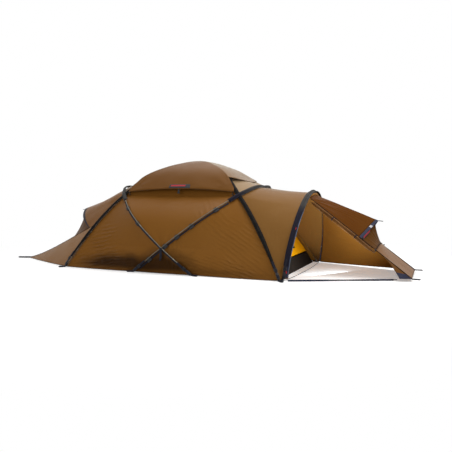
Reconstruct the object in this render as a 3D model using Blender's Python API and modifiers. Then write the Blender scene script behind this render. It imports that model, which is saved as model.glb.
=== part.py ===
"""Four-pole geodesic expedition tent with a fifth porch pole, a front porch and a rear vestibule.

Metres, +Z up. The origin is on the ground under the centre of the dome. +X points to the front
porch, which has the open door, and -Y is the near side, with the door rolled up.
"""

import math

import bmesh
import bpy
import numpy as np
from mathutils import Matrix, Vector

COLLECTION = "expedition_tent"
HELPERS = "joined_shapes"

# Dome poles
PEAK_HEIGHT = 1.35
PEAK_SHIFT = 0.045
DIAGONAL_FOOT_X = 1.418
DIAGONAL_FOOT_Y = 0.937
ARCH_FOOT_X = 0.398
ARCH_FOOT_Y = 0.959
ARCH_TOP_HEIGHT = 1.030
POLE_DIAMETER = 0.010
POLE_POINT_SPACING = 0.11
CROSSING_LIFT = 0.0062
CROSSING_REACH = 0.09

# Fullness of the poles over a plain parabola or ellipse, at equal steps
DIAGONAL_FULLNESS = (0.0, -0.004, 0.010, -0.006, 0.005, 0.020)
PEAK_SHIFT_END = 0.55
ARCH_FULLNESS = (0.0, 0.060, 0.090, 0.055, 0.040, 0.0)
PORCH_FULLNESS = (0.0, 0.006, -0.012, -0.020, -0.005, 0.0)

# Porch pole
PORCH_FOOT_X = 1.441
PORCH_FOOT_Y = 0.855
PORCH_TOP_HEIGHT = 0.978
PORCH_LEAN = 0.12
ZIP_FLAP = 0.030
TUNNEL_HEM_HEIGHT = 0.012
TUNNEL_TUCK = 0.056

# Cloth
CLOTH = 0.0012
BAND_CLOTH = 0.0018
SEAM_GAP = 0.0009
INNER_SEAM_GAP = 0.0020
CLOTH_DROP = 0.0205
HEM_HEIGHT = 0.006
SIDE_SAG = 0.018
LOW_SAG = 0.0054
SAG_FALL = 0.35
HEM_BOW = 0.020
MID_HEM_BOW = 0.010
SIDE_BOW_POWER = 3
ROOF_BOW_POWER = 3
ROOF_START = 0.03
WALL_START = 0.05
RIDGE_SAG = 0.012
SIDE_SEAM_GAP = 0.0016
SIDE_CELLS = 5

# Front porch
PORCH_CORNER = (2.727, 0.376, 0.030)
PORCH_SEAM_Y = 0.300
PORCH_ROOF_DIP = 0.028
PORCH_HOOD_TIP = (2.330, 0.0, 0.633)
PORCH_HOOD_SHARE = 0.526
PORCH_SILL_SHARE = 0.665
PORCH_HOOD_BOW = 0.0
PORCH_SILL_REACH = 0.012
PORCH_SILL_RISE = 0.045
PORCH_HOOD_BAND = 0.036
DOOR_HEM_RISE = 0.035
STRIP_FOOT = (-0.125, -0.046, 0.0)
STRIP_BOW = 0.035
DOOR_GAP = 0.0025

# Rear vestibule
REAR_CORNER = (2.535, 0.358, 0.006)
REAR_SEAM_SAG = 0.035
REAR_SEAM_STEP = 0.770
REAR_HOOD_TIP = (1.805, 0.0, 0.717)
REAR_HOOD_SHARE = 0.100
REAR_SILL_SHARE = 0.260
REAR_SILL_REACH = 0.450
REAR_SILL_RISE = -0.130
REAR_HOOD_BOW = 0.070
REAR_HOOD_BAND = 0.025

# End walls of the porch and the vestibule
END_WALL_SAG = 0.020
END_HEM_LIFT = 0.004

# Vents under the hoods
SCREEN_SETBACK = 0.050
SCREEN_DROP = 0.009
SCREEN_SIDE_GAP = 0.006
SCREEN_SILL_GAP = 0.004
SCREEN_FOLLOW = 0.55
SCREEN_DRAPE = 0.125

# Roof cap
CAP_SIDE_STEP = 0.560
CAP_END_STEP = 0.430
CAP_RISE = 0.017
CAP_EDGE_LIFT = 0.010
CAP_SIDE_BOW = 0.045
CAP_END_BOW = 0.035
CAP_CLOTH = 0.0014
CAP_FLAP_START = 0.07

# Inner tent
INNER_DROP = 0.085
TUB_HEIGHT = 0.150
TUB_CLOTH = 0.002
TUB_FLARE = (1.070, 1.020)
CEILING_STEP = 0.350
CEILING_CROWN = 0.040
EAVE_CROWN = 0.020
RIM_GAP = 0.004
INNER_DOOR_SHARE = (0.27, 0.73)
INNER_DOOR_RISE = (0.30, 0.93)
DOOR_EDGE_CELLS = 3

# Sleeves over the poles
SLEEVE_WIDTH = 0.046
SLEEVE_WING = 0.0030
SLEEVE_CLOTH = 0.0011
SLEEVE_CLEARANCE = 0.0008
SLEEVE_FLAT = 0.9
SLEEVE_START = 0.16
ARCH_SLEEVE_RUN = 0.150

# Feet and tension straps
CUP_RADIUS = 0.0110
CUP_START = 0.018
CUP_LENGTH = 0.040
CUP_WALL = 0.0100
CUP_FIT = 0.0007
CUP_FLOOR_GAP = 0.0015
WEBBING = 0.0015
WEBBING_WIDTH = 0.020
TENSION_STRAP_START = 0.040
TENSION_STRAP_END = 0.215
TENSION_STRAP_LIFT = 0.0098
BUCKLE_LENGTH = 0.032
BUCKLE_STEP = 0.020
BUCKLE_WALL = 0.0020
BUCKLE_SLOT_GAP = 0.0007

# Clips and webbing under the bare poles
CLIP_LENGTH = 0.034
CLIP_WIDTH = 0.026
CLIP_PLACES = {"arch_rear": (0.969, 1.295), "arch_front": (0.287, 0.550, 0.734, 0.946, 1.290)}
CLIP_CLEARANCE = 0.0008
CLIP_SLOPE = 0.002
LINE_DROP = {"arch_rear": 0.0128, "arch_front": 0.0156}
LINE_THICKNESS = 0.0007
LINE_START = 0.105
LINE_SLEEVE_GAP = 0.015

# Straps, ties and small fittings
HANGING_STRAP = (0.020, 0.0015, 0.135)
HANGING_STRAP_GAP = 0.004
GROUND_STRAP = (0.020, 0.0015)
GROUND_STRAP_START = (1.500, 0.905)
GROUND_STRAP_END = (2.538, 0.392)
GROUND_STRAP_HEIGHT = 0.014
HOOK = (0.036, 0.024, 0.006)
HOOK_NECK = 0.004
ROLL_RADIUS = 0.019
ROLL_OFFSET = (0.0, -0.016, -0.034)
ROLL_START = 0.03
ROLL_END_GAP = 0.01
SLIDER = (0.022, 0.012, 0.006)
SLIDER_GAP = 0.0045
OUTER_SLIDER_ANGLES = (0.26, 0.40)

POLE_RADIUS = POLE_DIAMETER / 2
POLE_TIP = CUP_START + CUP_WALL + CUP_FLOOR_GAP
NEAR = -1
FAR = 1


# Small maths helpers

def smooth(stations, t):
    """Value at t (0 to 1) of a smooth curve through equally spaced stations."""
    count = len(stations) - 1
    padded = np.array([stations[0], *stations, stations[-1]], dtype=float)
    place = np.clip(np.asarray(t, dtype=float), 0.0, 1.0) * count
    i = np.minimum(place.astype(int), count - 1)
    f = place - i
    p0, p1, p2, p3 = (padded[i + k] for k in range(4))
    return p1 + 0.5 * f * (p2 - p0 + f * (2 * p0 - 5 * p1 + 4 * p2 - p3 + f * (3 * (p1 - p2) + p3 - p0)))


def unit(vectors):
    return vectors / np.linalg.norm(vectors, axis=-1, keepdims=True)


def find_root(function, low, high):
    """Root of a rising function between low and high, by halving."""
    for _ in range(60):
        middle = (low + high) / 2
        if function(middle) > 0:
            high = middle
        else:
            low = middle
    return (low + high) / 2


def stack(x, y, z):
    return np.stack(np.broadcast_arrays(x, y, z), axis=-1).astype(float)


def mirror_x(points):
    return points * np.array([-1.0, 1.0, 1.0])


def mirror_y(points):
    return points * np.array([1.0, -1.0, 1.0])


# Pole centre lines

def diagonal_height(step):
    """Height of a diagonal pole at a step from the peak (0) to its foot (1)."""
    return PEAK_HEIGHT * (1 - step ** 2) * (1 + smooth(DIAGONAL_FULLNESS, step))


def diagonal_leg(end, side, step):
    """Point on the leg at one end (-1 rear, 1 front) and side (-1 near, 1 far)."""
    step = np.asarray(step, dtype=float)
    shift = PEAK_SHIFT * np.clip(1 - (step / PEAK_SHIFT_END) ** 2, 0, 1) ** 2
    return stack(shift + end * DIAGONAL_FOOT_X * step, side * DIAGONAL_FOOT_Y * step, diagonal_height(step))


def arch_section(angle, foot_y, top, fullness):
    """Distance from the middle and height of an arch, from its foot (0) over the top (pi)."""
    rise = np.minimum(angle, math.pi - angle) / (math.pi / 2)
    radius = foot_y * np.cos(angle) ** 2 + top * np.sin(angle) ** 2
    radius = radius * (1 + smooth(fullness, rise))
    return -radius * np.cos(angle), radius * np.sin(angle)


def crossing_on_arch():
    """Angle on a dome arch, and step on a diagonal, where the two poles cross."""
    def above(angle):
        y, z = arch_section(angle, ARCH_FOOT_Y, ARCH_TOP_HEIGHT, ARCH_FULLNESS)
        step = min(abs(float(y)) / DIAGONAL_FOOT_Y, 1.0)
        return float(diagonal_height(step)) - float(z)
    angle = find_root(above, 0.7, 1.4)
    y, _ = arch_section(angle, ARCH_FOOT_Y, ARCH_TOP_HEIGHT, ARCH_FULLNESS)
    return angle, abs(float(y)) / DIAGONAL_FOOT_Y


CROSS_ANGLE, CROSS_STEP = crossing_on_arch()
CROSS_HEIGHT = float(diagonal_height(CROSS_STEP))
ARCH_LEAN = (ARCH_FOOT_X + DIAGONAL_FOOT_X * CROSS_STEP) / CROSS_HEIGHT
LOW_HEIGHT = ARCH_FOOT_X / ARCH_LEAN
LOW_ANGLE = find_root(
    lambda angle: float(arch_section(angle, ARCH_FOOT_Y, ARCH_TOP_HEIGHT, ARCH_FULLNESS)[1]) - LOW_HEIGHT,
    0.05, 0.8)


def dome_arch(end, angle):
    """Point on the arch whose top leans to one end (-1 rear, 1 front)."""
    y, z = arch_section(np.asarray(angle, dtype=float), ARCH_FOOT_Y, ARCH_TOP_HEIGHT, ARCH_FULLNESS)
    return stack(end * (ARCH_LEAN * z - ARCH_FOOT_X), y, z)


def porch_arch(angle, forward=0.0):
    """Point on the porch pole, or on a line a little in front of it."""
    y, z = arch_section(np.asarray(angle, dtype=float), PORCH_FOOT_Y, PORCH_TOP_HEIGHT, PORCH_FULLNESS)
    return stack(PORCH_FOOT_X + PORCH_LEAN * z + forward, y, z)


def dome_normal(points):
    """Outward direction of the dome, as of an ellipsoid about its middle."""
    reach = np.array([DIAGONAL_FOOT_X * 1.25, ARCH_FOOT_Y * 1.15, PEAK_HEIGHT])
    return unit(points / reach ** 2)


def porch_normal(points):
    flat = points * np.array([0.0, 1.0, 1.0])
    return unit(flat / np.array([1.0, PORCH_FOOT_Y, PORCH_TOP_HEIGHT]) ** 2)


def under_dome(points, drop=CLOTH_DROP):
    return points - drop * dome_normal(points)


def under_porch(points, drop=CLOTH_DROP):
    return points - drop * porch_normal(points)


HEM_STEP = find_root(lambda step: HEM_HEIGHT - float(under_dome(diagonal_leg(1, NEAR, step))[2]), 0.9, 1.0)
HEM_ANGLE = HEM_HEIGHT / ARCH_FOOT_Y
PORCH_HEM_ANGLE = HEM_HEIGHT / PORCH_FOOT_Y


# Cloth surfaces: a patch is stretched between four edge curves

def between(low, high):
    """Numbers from low to high for a curve's own 0 to 1."""
    return lambda t: low + (high - low) * np.asarray(t, dtype=float)


def line(start, end, lift=0.0, bow=0.0):
    """Straight edge from start to end, raised by lift and moved by bow along Y at its middle."""
    start = np.asarray(start, dtype=float)
    end = np.asarray(end, dtype=float)

    def curve(t):
        t = np.asarray(t, dtype=float)[..., None]
        belly = 4 * t * (1 - t)
        return start + (end - start) * t + belly * np.array([0.0, bow, lift])
    return curve


def joined(*curves, samples=48):
    """One curve that follows several in turn at an even pace."""
    points = np.concatenate([curve(np.linspace(0, 1, samples)) for curve in curves])
    steps = np.linalg.norm(np.diff(points, axis=0), axis=1)
    along = np.concatenate([[0.0], np.cumsum(steps + 1e-9)])
    along /= along[-1]

    def curve(t):
        return np.stack([np.interp(t, along, points[:, k]) for k in range(3)], axis=-1)
    return curve


def patch(top, bottom, left, right, sag=0.0, sag_axis=(0.0, 1.0, 0.0), power=1):
    """Surface stretched between a top and bottom edge (u) and a left and right edge (v).

    Straight lines run from the left edge to the right one; a higher power keeps the bow of the top
    and bottom edges close to those edges.
    """
    sag_axis = np.asarray(sag_axis, dtype=float)

    def bow(edge, u):
        return edge(u) - (1 - u[..., None]) * edge(0 * u) - u[..., None] * edge(0 * u + 1)

    def surface(u, v):
        uu = u[..., None]
        vv = v[..., None]
        sides = (1 - uu) * left(v) + uu * right(v)
        ends = (1 - vv) ** power * bow(top, u) + vv ** power * bow(bottom, u)
        belly = 16 * uu * (1 - uu) * vv * (1 - vv) * sag
        return sides + ends + belly * sag_axis
    return surface


def grid_points(surface, across, down, u_span=(0.0, 1.0), v_span=(0.0, 1.0), gap=SEAM_GAP):
    """Points of a surface on a grid, held a gap inside the edges of its span."""
    u = across if np.ndim(across) else np.linspace(0, 1, across + 1)
    v = down if np.ndim(down) else np.linspace(0, 1, down + 1)
    u = between(*u_span)(u)
    v = between(*v_span)(v)
    width = run_length(surface(np.linspace(u[0], u[-1], 20), np.full(20, (v[0] + v[-1]) / 2)))
    height = run_length(surface(np.full(20, (u[0] + u[-1]) / 2), np.linspace(v[0], v[-1], 20)))
    u[0] += gap / width * (u[-1] - u[0])
    u[-1] -= gap / width * (u[-1] - u[0])
    v[0] += gap / height * (v[-1] - v[0])
    v[-1] -= gap / height * (v[-1] - v[0])
    grid_u, grid_v = np.meshgrid(u, v, indexing="ij")
    return surface(grid_u, grid_v)


def run_length(points):
    return float(np.linalg.norm(np.diff(points, axis=0), axis=1).sum())


# Blender helpers

def clear_scene():
    for thing in list(bpy.data.objects):
        bpy.data.objects.remove(thing, do_unlink=True)


def new_collection(name):
    collection = bpy.data.collections.get(name) or bpy.data.collections.new(name)
    if name not in bpy.context.scene.collection.children:
        bpy.context.scene.collection.children.link(collection)
    return collection


def finish(name, colour, roughness, metallic=0.0):
    material = bpy.data.materials.new(name)
    material.use_nodes = True
    shader = material.node_tree.nodes["Principled BSDF"]
    shader.inputs["Base Color"].default_value = (*colour, 1.0)
    shader.inputs["Roughness"].default_value = roughness
    shader.inputs["Metallic"].default_value = metallic
    material.diffuse_color = (*colour, 1.0)
    return material


def place(name, mesh, material):
    """Object for one named piece, in the tent's collection."""
    thing = bpy.data.objects.new(name, mesh)
    bpy.data.collections[COLLECTION].objects.link(thing)
    if mesh.materials:
        mesh.materials[0] = material
    else:
        mesh.materials.append(material)
    return thing


def mapped_grid(points, outward):
    """Grid mesh whose vertices lie on an array of points, facing outward."""
    across, down = points.shape[0] - 1, points.shape[1] - 1
    form = bmesh.new()
    bmesh.ops.create_grid(form, x_segments=across, y_segments=down, size=1.0)
    for vertex in form.verts:
        i = round((vertex.co.x + 1) / 2 * across)
        j = round((vertex.co.y + 1) / 2 * down)
        vertex.co = points[i, j]
    form.normal_update()
    facing = 0.0
    for face in form.faces:
        facing += face.normal.dot(outward(face.calc_center_median())) * face.calc_area()
    if facing < 0:
        bmesh.ops.reverse_faces(form, faces=form.faces)
    return form


def from_middle(centre=(0.0, 0.0, 0.3)):
    """Outward direction as seen from a point inside the tent."""
    middle = Vector(centre)
    return lambda point: point - middle


def keep_form(name, form):
    mesh = bpy.data.meshes.new(name)
    form.to_mesh(mesh)
    form.free()
    mesh.shade_smooth()
    return mesh


def thicken(thing, thickness, offset=-1.0):
    shell = thing.modifiers.new("thickness", "SOLIDIFY")
    shell.thickness = thickness
    shell.offset = offset
    return thing


def cloth(name, points, material, thickness=CLOTH, outward=None, hole=None):
    """Closed sheet of cloth over a grid of points; hole gives the grid cells left out."""
    form = mapped_grid(points, outward or from_middle())
    if hole:
        (u_low, u_high), (v_low, v_high) = hole
        inside = np.zeros(points.shape[:2], dtype=bool)
        inside[u_low:u_high + 1, v_low:v_high + 1] = True
        marked = {tuple(np.round(p, 6)) for p in points[inside]}
        doomed = [face for face in form.faces
                  if all(tuple(np.round(vertex.co, 6)) in marked for vertex in face.verts)]
        bmesh.ops.delete(form, geom=doomed, context="FACES")
    return thicken(place(name, keep_form(name, form), material), thickness)


def tube(name, points, radius, material, sides=2, cyclic=False):
    """Round rod, wire or roll along a line of points."""
    data = bpy.data.curves.new(name, "CURVE")
    data.dimensions = "3D"
    data.bevel_depth = radius
    data.bevel_resolution = sides
    data.use_fill_caps = True
    path = data.splines.new("POLY")
    path.points.add(len(points) - 1)
    for spot, point in zip(path.points, points):
        spot.co = (*point, 1.0)
    path.use_cyclic_u = cyclic
    data.materials.append(material)
    thing = bpy.data.objects.new(name, data)
    bpy.data.collections[COLLECTION].objects.link(thing)
    return thing


def fuse(thing, *others):
    """Join other shapes to one object, so that they make one solid."""
    helpers = new_collection(HELPERS)
    for other in others:
        for collection in list(other.users_collection):
            collection.objects.unlink(other)
        helpers.objects.link(other)
        other.name = f"{thing.name}_helper"
        other.hide_render = True
        other.display_type = "WIRE"
        union = thing.modifiers.new("join", "BOOLEAN")
        union.operation = "UNION"
        union.object = other
    return thing


def loft(name, rings, material, closed=False):
    """Closed solid through rings of points; a closed loft runs from its last ring back to its first."""
    form = bmesh.new()
    rows = [[form.verts.new(point) for point in ring_points] for ring_points in rings]
    pairs = list(zip(rows[:-1], rows[1:]))
    if closed:
        pairs.append((rows[-1], rows[0]))
    else:
        form.faces.new(rows[0])
        form.faces.new(rows[-1])
    for here, there in pairs:
        for k in range(len(here)):
            after = (k + 1) % len(here)
            form.faces.new((here[k], here[after], there[after], there[k]))
    bmesh.ops.recalc_face_normals(form, faces=form.faces)
    mesh = keep_form(name, form)
    mesh.shade_flat()
    return place(name, mesh, material)


def frame_at(point, along, outward):
    """Matrix whose X runs along, whose Z faces outward and whose origin is a point."""
    x = Vector(along).normalized()
    z = Vector(outward)
    z = (z - x * z.dot(x)).normalized()
    y = z.cross(x)
    turn = Matrix((x, y, z)).transposed().to_4x4()
    return Matrix.Translation(Vector(point)) @ turn


def block(name, size, matrix, material, bevel=0.0015):
    """Box with rounded edges, its length, width and height along the matrix's X, Y and Z."""
    form = bmesh.new()
    bmesh.ops.create_cube(form, size=1.0)
    bmesh.ops.scale(form, vec=size, verts=form.verts)
    if bevel:
        bmesh.ops.bevel(form, geom=form.edges[:], offset=bevel, affect="EDGES", segments=1, profile=0.5,
                        material=-1)
    bmesh.ops.transform(form, matrix=matrix, verts=form.verts)
    return place(name, keep_form(name, form), material)


# Poles

class Pole:
    """One bent pole: its axis from the near foot to the far foot, and the outward direction.

    The axis is a chain of short straight runs between stations, and whatever lies along the pole
    follows the same runs. A station falls on every crossing with another pole.
    """

    def __init__(self, centre_line, normals, crossings):
        steps = np.linalg.norm(np.diff(centre_line, axis=0), axis=1)
        along = np.concatenate([[0.0], np.cumsum(steps)])
        self.length = float(along[-1])
        self.crossings = {label: float(along[index]) for label, (index, _) in crossings.items()}
        lift = np.zeros(len(centre_line))
        for index, amount in crossings.values():
            lift += amount * np.exp(-((along - along[index]) / CROSSING_REACH) ** 2)
        keys = sorted([0.0, self.length, *self.crossings.values()])
        stations = [0.0]
        for low, high in zip(keys[:-1], keys[1:]):
            count = max(1, round((high - low) / POLE_POINT_SPACING))
            stations += list(np.linspace(low, high, count + 1)[1:])
        self.stations = np.array(stations)
        self.skin = read_at(self.stations, along, centre_line)
        self.axis = read_at(self.stations, along, centre_line + lift[:, None] * normals)
        self.normals = read_at(self.stations, along, normals)

    def at(self, distance, on_skin=False):
        """Axis point, direction along the pole and outward direction at a distance."""
        values = self.skin if on_skin else self.axis
        point = read_at(distance, self.stations, values)
        along = unit(read_at(distance + 0.004, self.stations, values)
                     - read_at(distance - 0.004, self.stations, values))
        outward = read_at(distance, self.stations, self.normals)
        outward = unit(outward - along * float(outward @ along))
        return point, along, outward

    def lift_at(self, distance):
        """How far a crossing raises or lowers the axis off the dome's surface."""
        axis, _, outward = self.at(distance)
        return float((axis - self.at(distance, on_skin=True)[0]) @ outward)

    def matrix(self, distance, lift=0.0):
        point, along, outward = self.at(distance)
        return frame_at(point + outward * lift, along, outward)

    def cuts(self, start, end, spare=0.012):
        """Distances from start to end that include every station on the way."""
        inside = [d for d in self.stations if start + spare < d < end - spare]
        return [start, *inside, end]

def read_at(distance, along, values):
    """Values at one distance or several, read along straight runs."""
    return np.stack([np.interp(distance, along, values[:, k]) for k in range(3)], axis=-1)


def nearest(points, target):
    return int(np.linalg.norm(points - target, axis=1).argmin())


def make_poles():
    """The five poles by name."""
    walk = np.linspace(-1, 1, 401)
    angles = np.linspace(0, math.pi, 401)
    cross_rear_near = diagonal_leg(-1, NEAR, CROSS_STEP)
    cross_front_near = diagonal_leg(1, NEAR, CROSS_STEP)
    low_near = dome_arch(-1, LOW_ANGLE)
    poles = {}
    for name, lean, peak_lift in (("diagonal_rear", 1, -1), ("diagonal_front", -1, 1)):
        points = np.stack([diagonal_leg(lean * np.sign(s), np.sign(s), abs(s)) if s else
                           diagonal_leg(1, NEAR, 0.0) for s in walk])
        start = cross_rear_near if lean == 1 else cross_front_near
        end = mirror_y(mirror_x(start))
        poles[name] = Pole(points, dome_normal(points), {
            "near": (nearest(points, start), -CROSSING_LIFT),
            "peak": (200, peak_lift * CROSSING_LIFT),
            "far": (nearest(points, end), -CROSSING_LIFT)})
    for name, end, low_lift, start in (("arch_rear", -1, 1, cross_rear_near),
                                       ("arch_front", 1, -1, cross_front_near)):
        points = dome_arch(end, angles)
        poles[name] = Pole(points, dome_normal(points), {
            "low_near": (nearest(points, low_near), low_lift * CROSSING_LIFT),
            "near": (nearest(points, start), CROSSING_LIFT),
            "far": (nearest(points, mirror_y(start)), CROSSING_LIFT),
            "low_far": (nearest(points, mirror_y(low_near)), low_lift * CROSSING_LIFT)})
    points = porch_arch(angles)
    poles["porch"] = Pole(points, porch_normal(points), {})
    return poles


def add_pole(name, pole, material):
    """A pole as one bent tube between its two feet."""
    spots = [pole.at(d)[0] for d in pole.cuts(POLE_TIP, pole.length - POLE_TIP)]
    return tube(name, spots, POLE_RADIUS, material, sides=1)


def sweep(pole, distances, profile):
    """Grid of points that carries a cross-section of (side, out) pairs along a pole."""
    rows = []
    for distance in distances:
        point, along, outward = pole.at(distance)
        side = np.cross(outward, along)
        rows.append([point + side * s + outward * o for s, o in profile])
    return np.array(rows)


def sleeve_profile():
    """Flat wings at both sides and a crown over the pole."""
    crown = POLE_RADIUS + SLEEVE_CLEARANCE + SLEEVE_CLOTH
    flat = POLE_RADIUS * SLEEVE_FLAT
    wing = -SLEEVE_WING + SLEEVE_CLOTH
    return ((-SLEEVE_WIDTH / 2, wing), (-flat, crown), (flat, crown), (SLEEVE_WIDTH / 2, wing))


def ribbon(name, pole, distances, profile, material, thickness):
    """Strip of cloth or webbing that follows a pole."""
    points = sweep(pole, distances, profile)
    outward = Vector(pole.at((distances[0] + distances[-1]) / 2)[2])
    return cloth(name, points, material, thickness, outward=lambda _: outward)


def add_sleeves(poles, colours):
    """Cloth sleeves: full length on the diagonals and the porch pole, over the top on the arches."""
    for name, pole in poles.items():
        colour = colours["black_sleeve"] if name.startswith("diagonal") else colours["grey_sleeve"]
        start, end = SLEEVE_START, pole.length - SLEEVE_START
        if name.startswith("arch"):
            start = pole.crossings["near"] - ARCH_SLEEVE_RUN
            end = pole.crossings["far"] + ARCH_SLEEVE_RUN
        ribbon(f"sleeve_{name}", pole, pole.cuts(start, end), sleeve_profile(), colour, SLEEVE_CLOTH)


# Fly panels of the dome

def leg(end, side, low, high):
    return lambda t: under_dome(diagonal_leg(end, side, between(low, high)(t)))


def arch_run(end, side, low, high):
    """Run of a dome arch on one side; the angles are counted from that side's foot."""
    def curve(t):
        points = under_dome(dome_arch(end, between(low, high)(t)))
        return points if side == NEAR else mirror_y(points)
    return curve


def shrunk(curve, at):
    """A patch edge that has shrunk to one point of a curve."""
    point = curve(np.array(at, dtype=float))
    return lambda t: np.broadcast_to(point, np.shape(t) + (3,))


def step_at_height(height, low=0.0, high=1.0):
    """Step on a diagonal at which its cloth is at a height."""
    return find_root(lambda step: height - float(under_dome(diagonal_leg(1, NEAR, step))[2]), low, high)


def leg_level_with(end, side, edge):
    """Edge down a leg whose points are level with those of another edge."""
    spread = np.linspace(0, 1, 2 * SIDE_CELLS + 1)
    steps = [step_at_height(float(z)) for z in edge(spread)[:, 2]]
    return lambda t: under_dome(diagonal_leg(end, side, np.interp(t, spread, steps)))


def in_turn(first, second):
    """One edge that follows one curve for its first half and another for its second."""
    def curve(t):
        t = np.asarray(t, dtype=float)
        early = first(np.minimum(2 * t, 1.0))
        late = second(np.maximum(2 * t - 1, 0.0))
        return np.where((t < 0.5)[..., None], early, late)
    return curve


def dome_side_panels(side):
    """The four panels of one long side of the dome, as surfaces with their cells across and down."""
    sag_in = (0.0, float(-side), -SAG_FALL)
    arch_mid = {end: arch_run(end, side, CROSS_ANGLE, LOW_ANGLE) for end in (-1, 1)}
    arch_down = {end: arch_run(end, side, LOW_ANGLE, HEM_ANGLE) for end in (-1, 1)}
    rear_edge = in_turn(leg(-1, side, 0, CROSS_STEP), arch_mid[-1])
    front_edge = in_turn(leg(1, side, 0, CROSS_STEP), arch_mid[1])
    upper = patch(shrunk(rear_edge, 0), shrunk(rear_edge, 1), rear_edge, front_edge, SIDE_SAG, sag_in)
    low = patch(shrunk(arch_down[1], 0), line(arch_down[1](1.0), arch_down[-1](1.0), 0.0, side * MID_HEM_BOW),
                arch_down[1], arch_down[-1], LOW_SAG, sag_in)
    panels = [(upper, SIDE_CELLS, 2 * SIDE_CELLS), (low, SIDE_CELLS, SIDE_CELLS)]
    for end in (-1, 1):
        inner_edge = in_turn(arch_mid[end], arch_down[-end])
        outer_edge = leg_level_with(end, side, inner_edge)
        hem = line(outer_edge(1.0), inner_edge(1.0), 0.0, side * HEM_BOW)
        panel = patch(shrunk(inner_edge, 0), hem, outer_edge, inner_edge, SIDE_SAG, sag_in, SIDE_BOW_POWER)
        panels.append((panel, SIDE_CELLS, 2 * SIDE_CELLS))
    return panels


def welded(name, sheets, material):
    """One cloth made of several point grids that share edges."""
    form = bmesh.new()
    for points in sheets:
        mesh = keep_form(name, mapped_grid(points, from_middle()))
        form.from_mesh(mesh)
        bpy.data.meshes.remove(mesh)
    bmesh.ops.remove_doubles(form, verts=form.verts, dist=0.00005)
    return thicken(place(name, keep_form(name, form), material), CLOTH)


def add_dome_fly(colours):
    """Two sides, each one cloth that runs on under the clipped arches, and two roof panels."""
    material = colours["canopy"]
    for side, word in ((NEAR, "near"), (FAR, "far")):
        outward = np.array([0.0, side * SIDE_SEAM_GAP, 0.0])
        sheets = [grid_points(surface, across, down, gap=0.0) + outward
                  for surface, across, down in dome_side_panels(side)]
        welded(f"fly_side_{word}", sheets, material)
    for end, word in ((-1, "rear"), (1, "front")):
        near_leg = leg(end, NEAR, 0, CROSS_STEP)
        far_leg = leg(end, FAR, 0, CROSS_STEP)
        roof = patch(shrunk(near_leg, 0), over_the_top(end), near_leg, far_leg, power=ROOF_BOW_POWER)
        cloth(f"fly_roof_{word}", grid_points(roof, 8, 6, v_span=(ROOF_START, 1.0)), material)


def over_the_top(end):
    """Roof edge along an arch, between its crossings with the diagonals."""
    def curve(t):
        return under_dome(dome_arch(end, between(CROSS_ANGLE, math.pi - CROSS_ANGLE)(t)))
    return curve


def tunnel_surface(side):
    """Cloth from the front of the dome to the porch pole, on one side of the ridge."""
    last_step = step_at_height(TUNNEL_HEM_HEIGHT)
    last_angle = TUNNEL_HEM_HEIGHT / PORCH_FOOT_Y
    dome_edge = joined(arch_run(1, side, math.pi / 2, CROSS_ANGLE), leg(1, side, CROSS_STEP, last_step))

    def porch_edge(t):
        t = np.asarray(t, dtype=float)
        tuck = TUNNEL_TUCK * t[..., None] ** 4
        points = under_porch(porch_arch(between(math.pi / 2, last_angle)(t), ZIP_FLAP), CLOTH_DROP + tuck)
        return points if side == NEAR else mirror_y(points)
    ridge = line(dome_edge(0.0), porch_edge(0.0), -RIDGE_SAG)
    hem = line(dome_edge(1.0), porch_edge(1.0))
    return patch(ridge, hem, dome_edge, porch_edge)


def add_tunnel(colours):
    for side, word in ((NEAR, "near"), (FAR, "far")):
        points = grid_points(tunnel_surface(side), 6, 12)
        cloth(f"fly_tunnel_side_{word}", points, colours["canopy"], outward=from_middle((1.2, 0.0, 0.2)))


# Vestibules

# The seam sags as share² × (1 - share), whose greatest value is 4/27
SEAM_SAG_PEAK = 27 / 4


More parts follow.
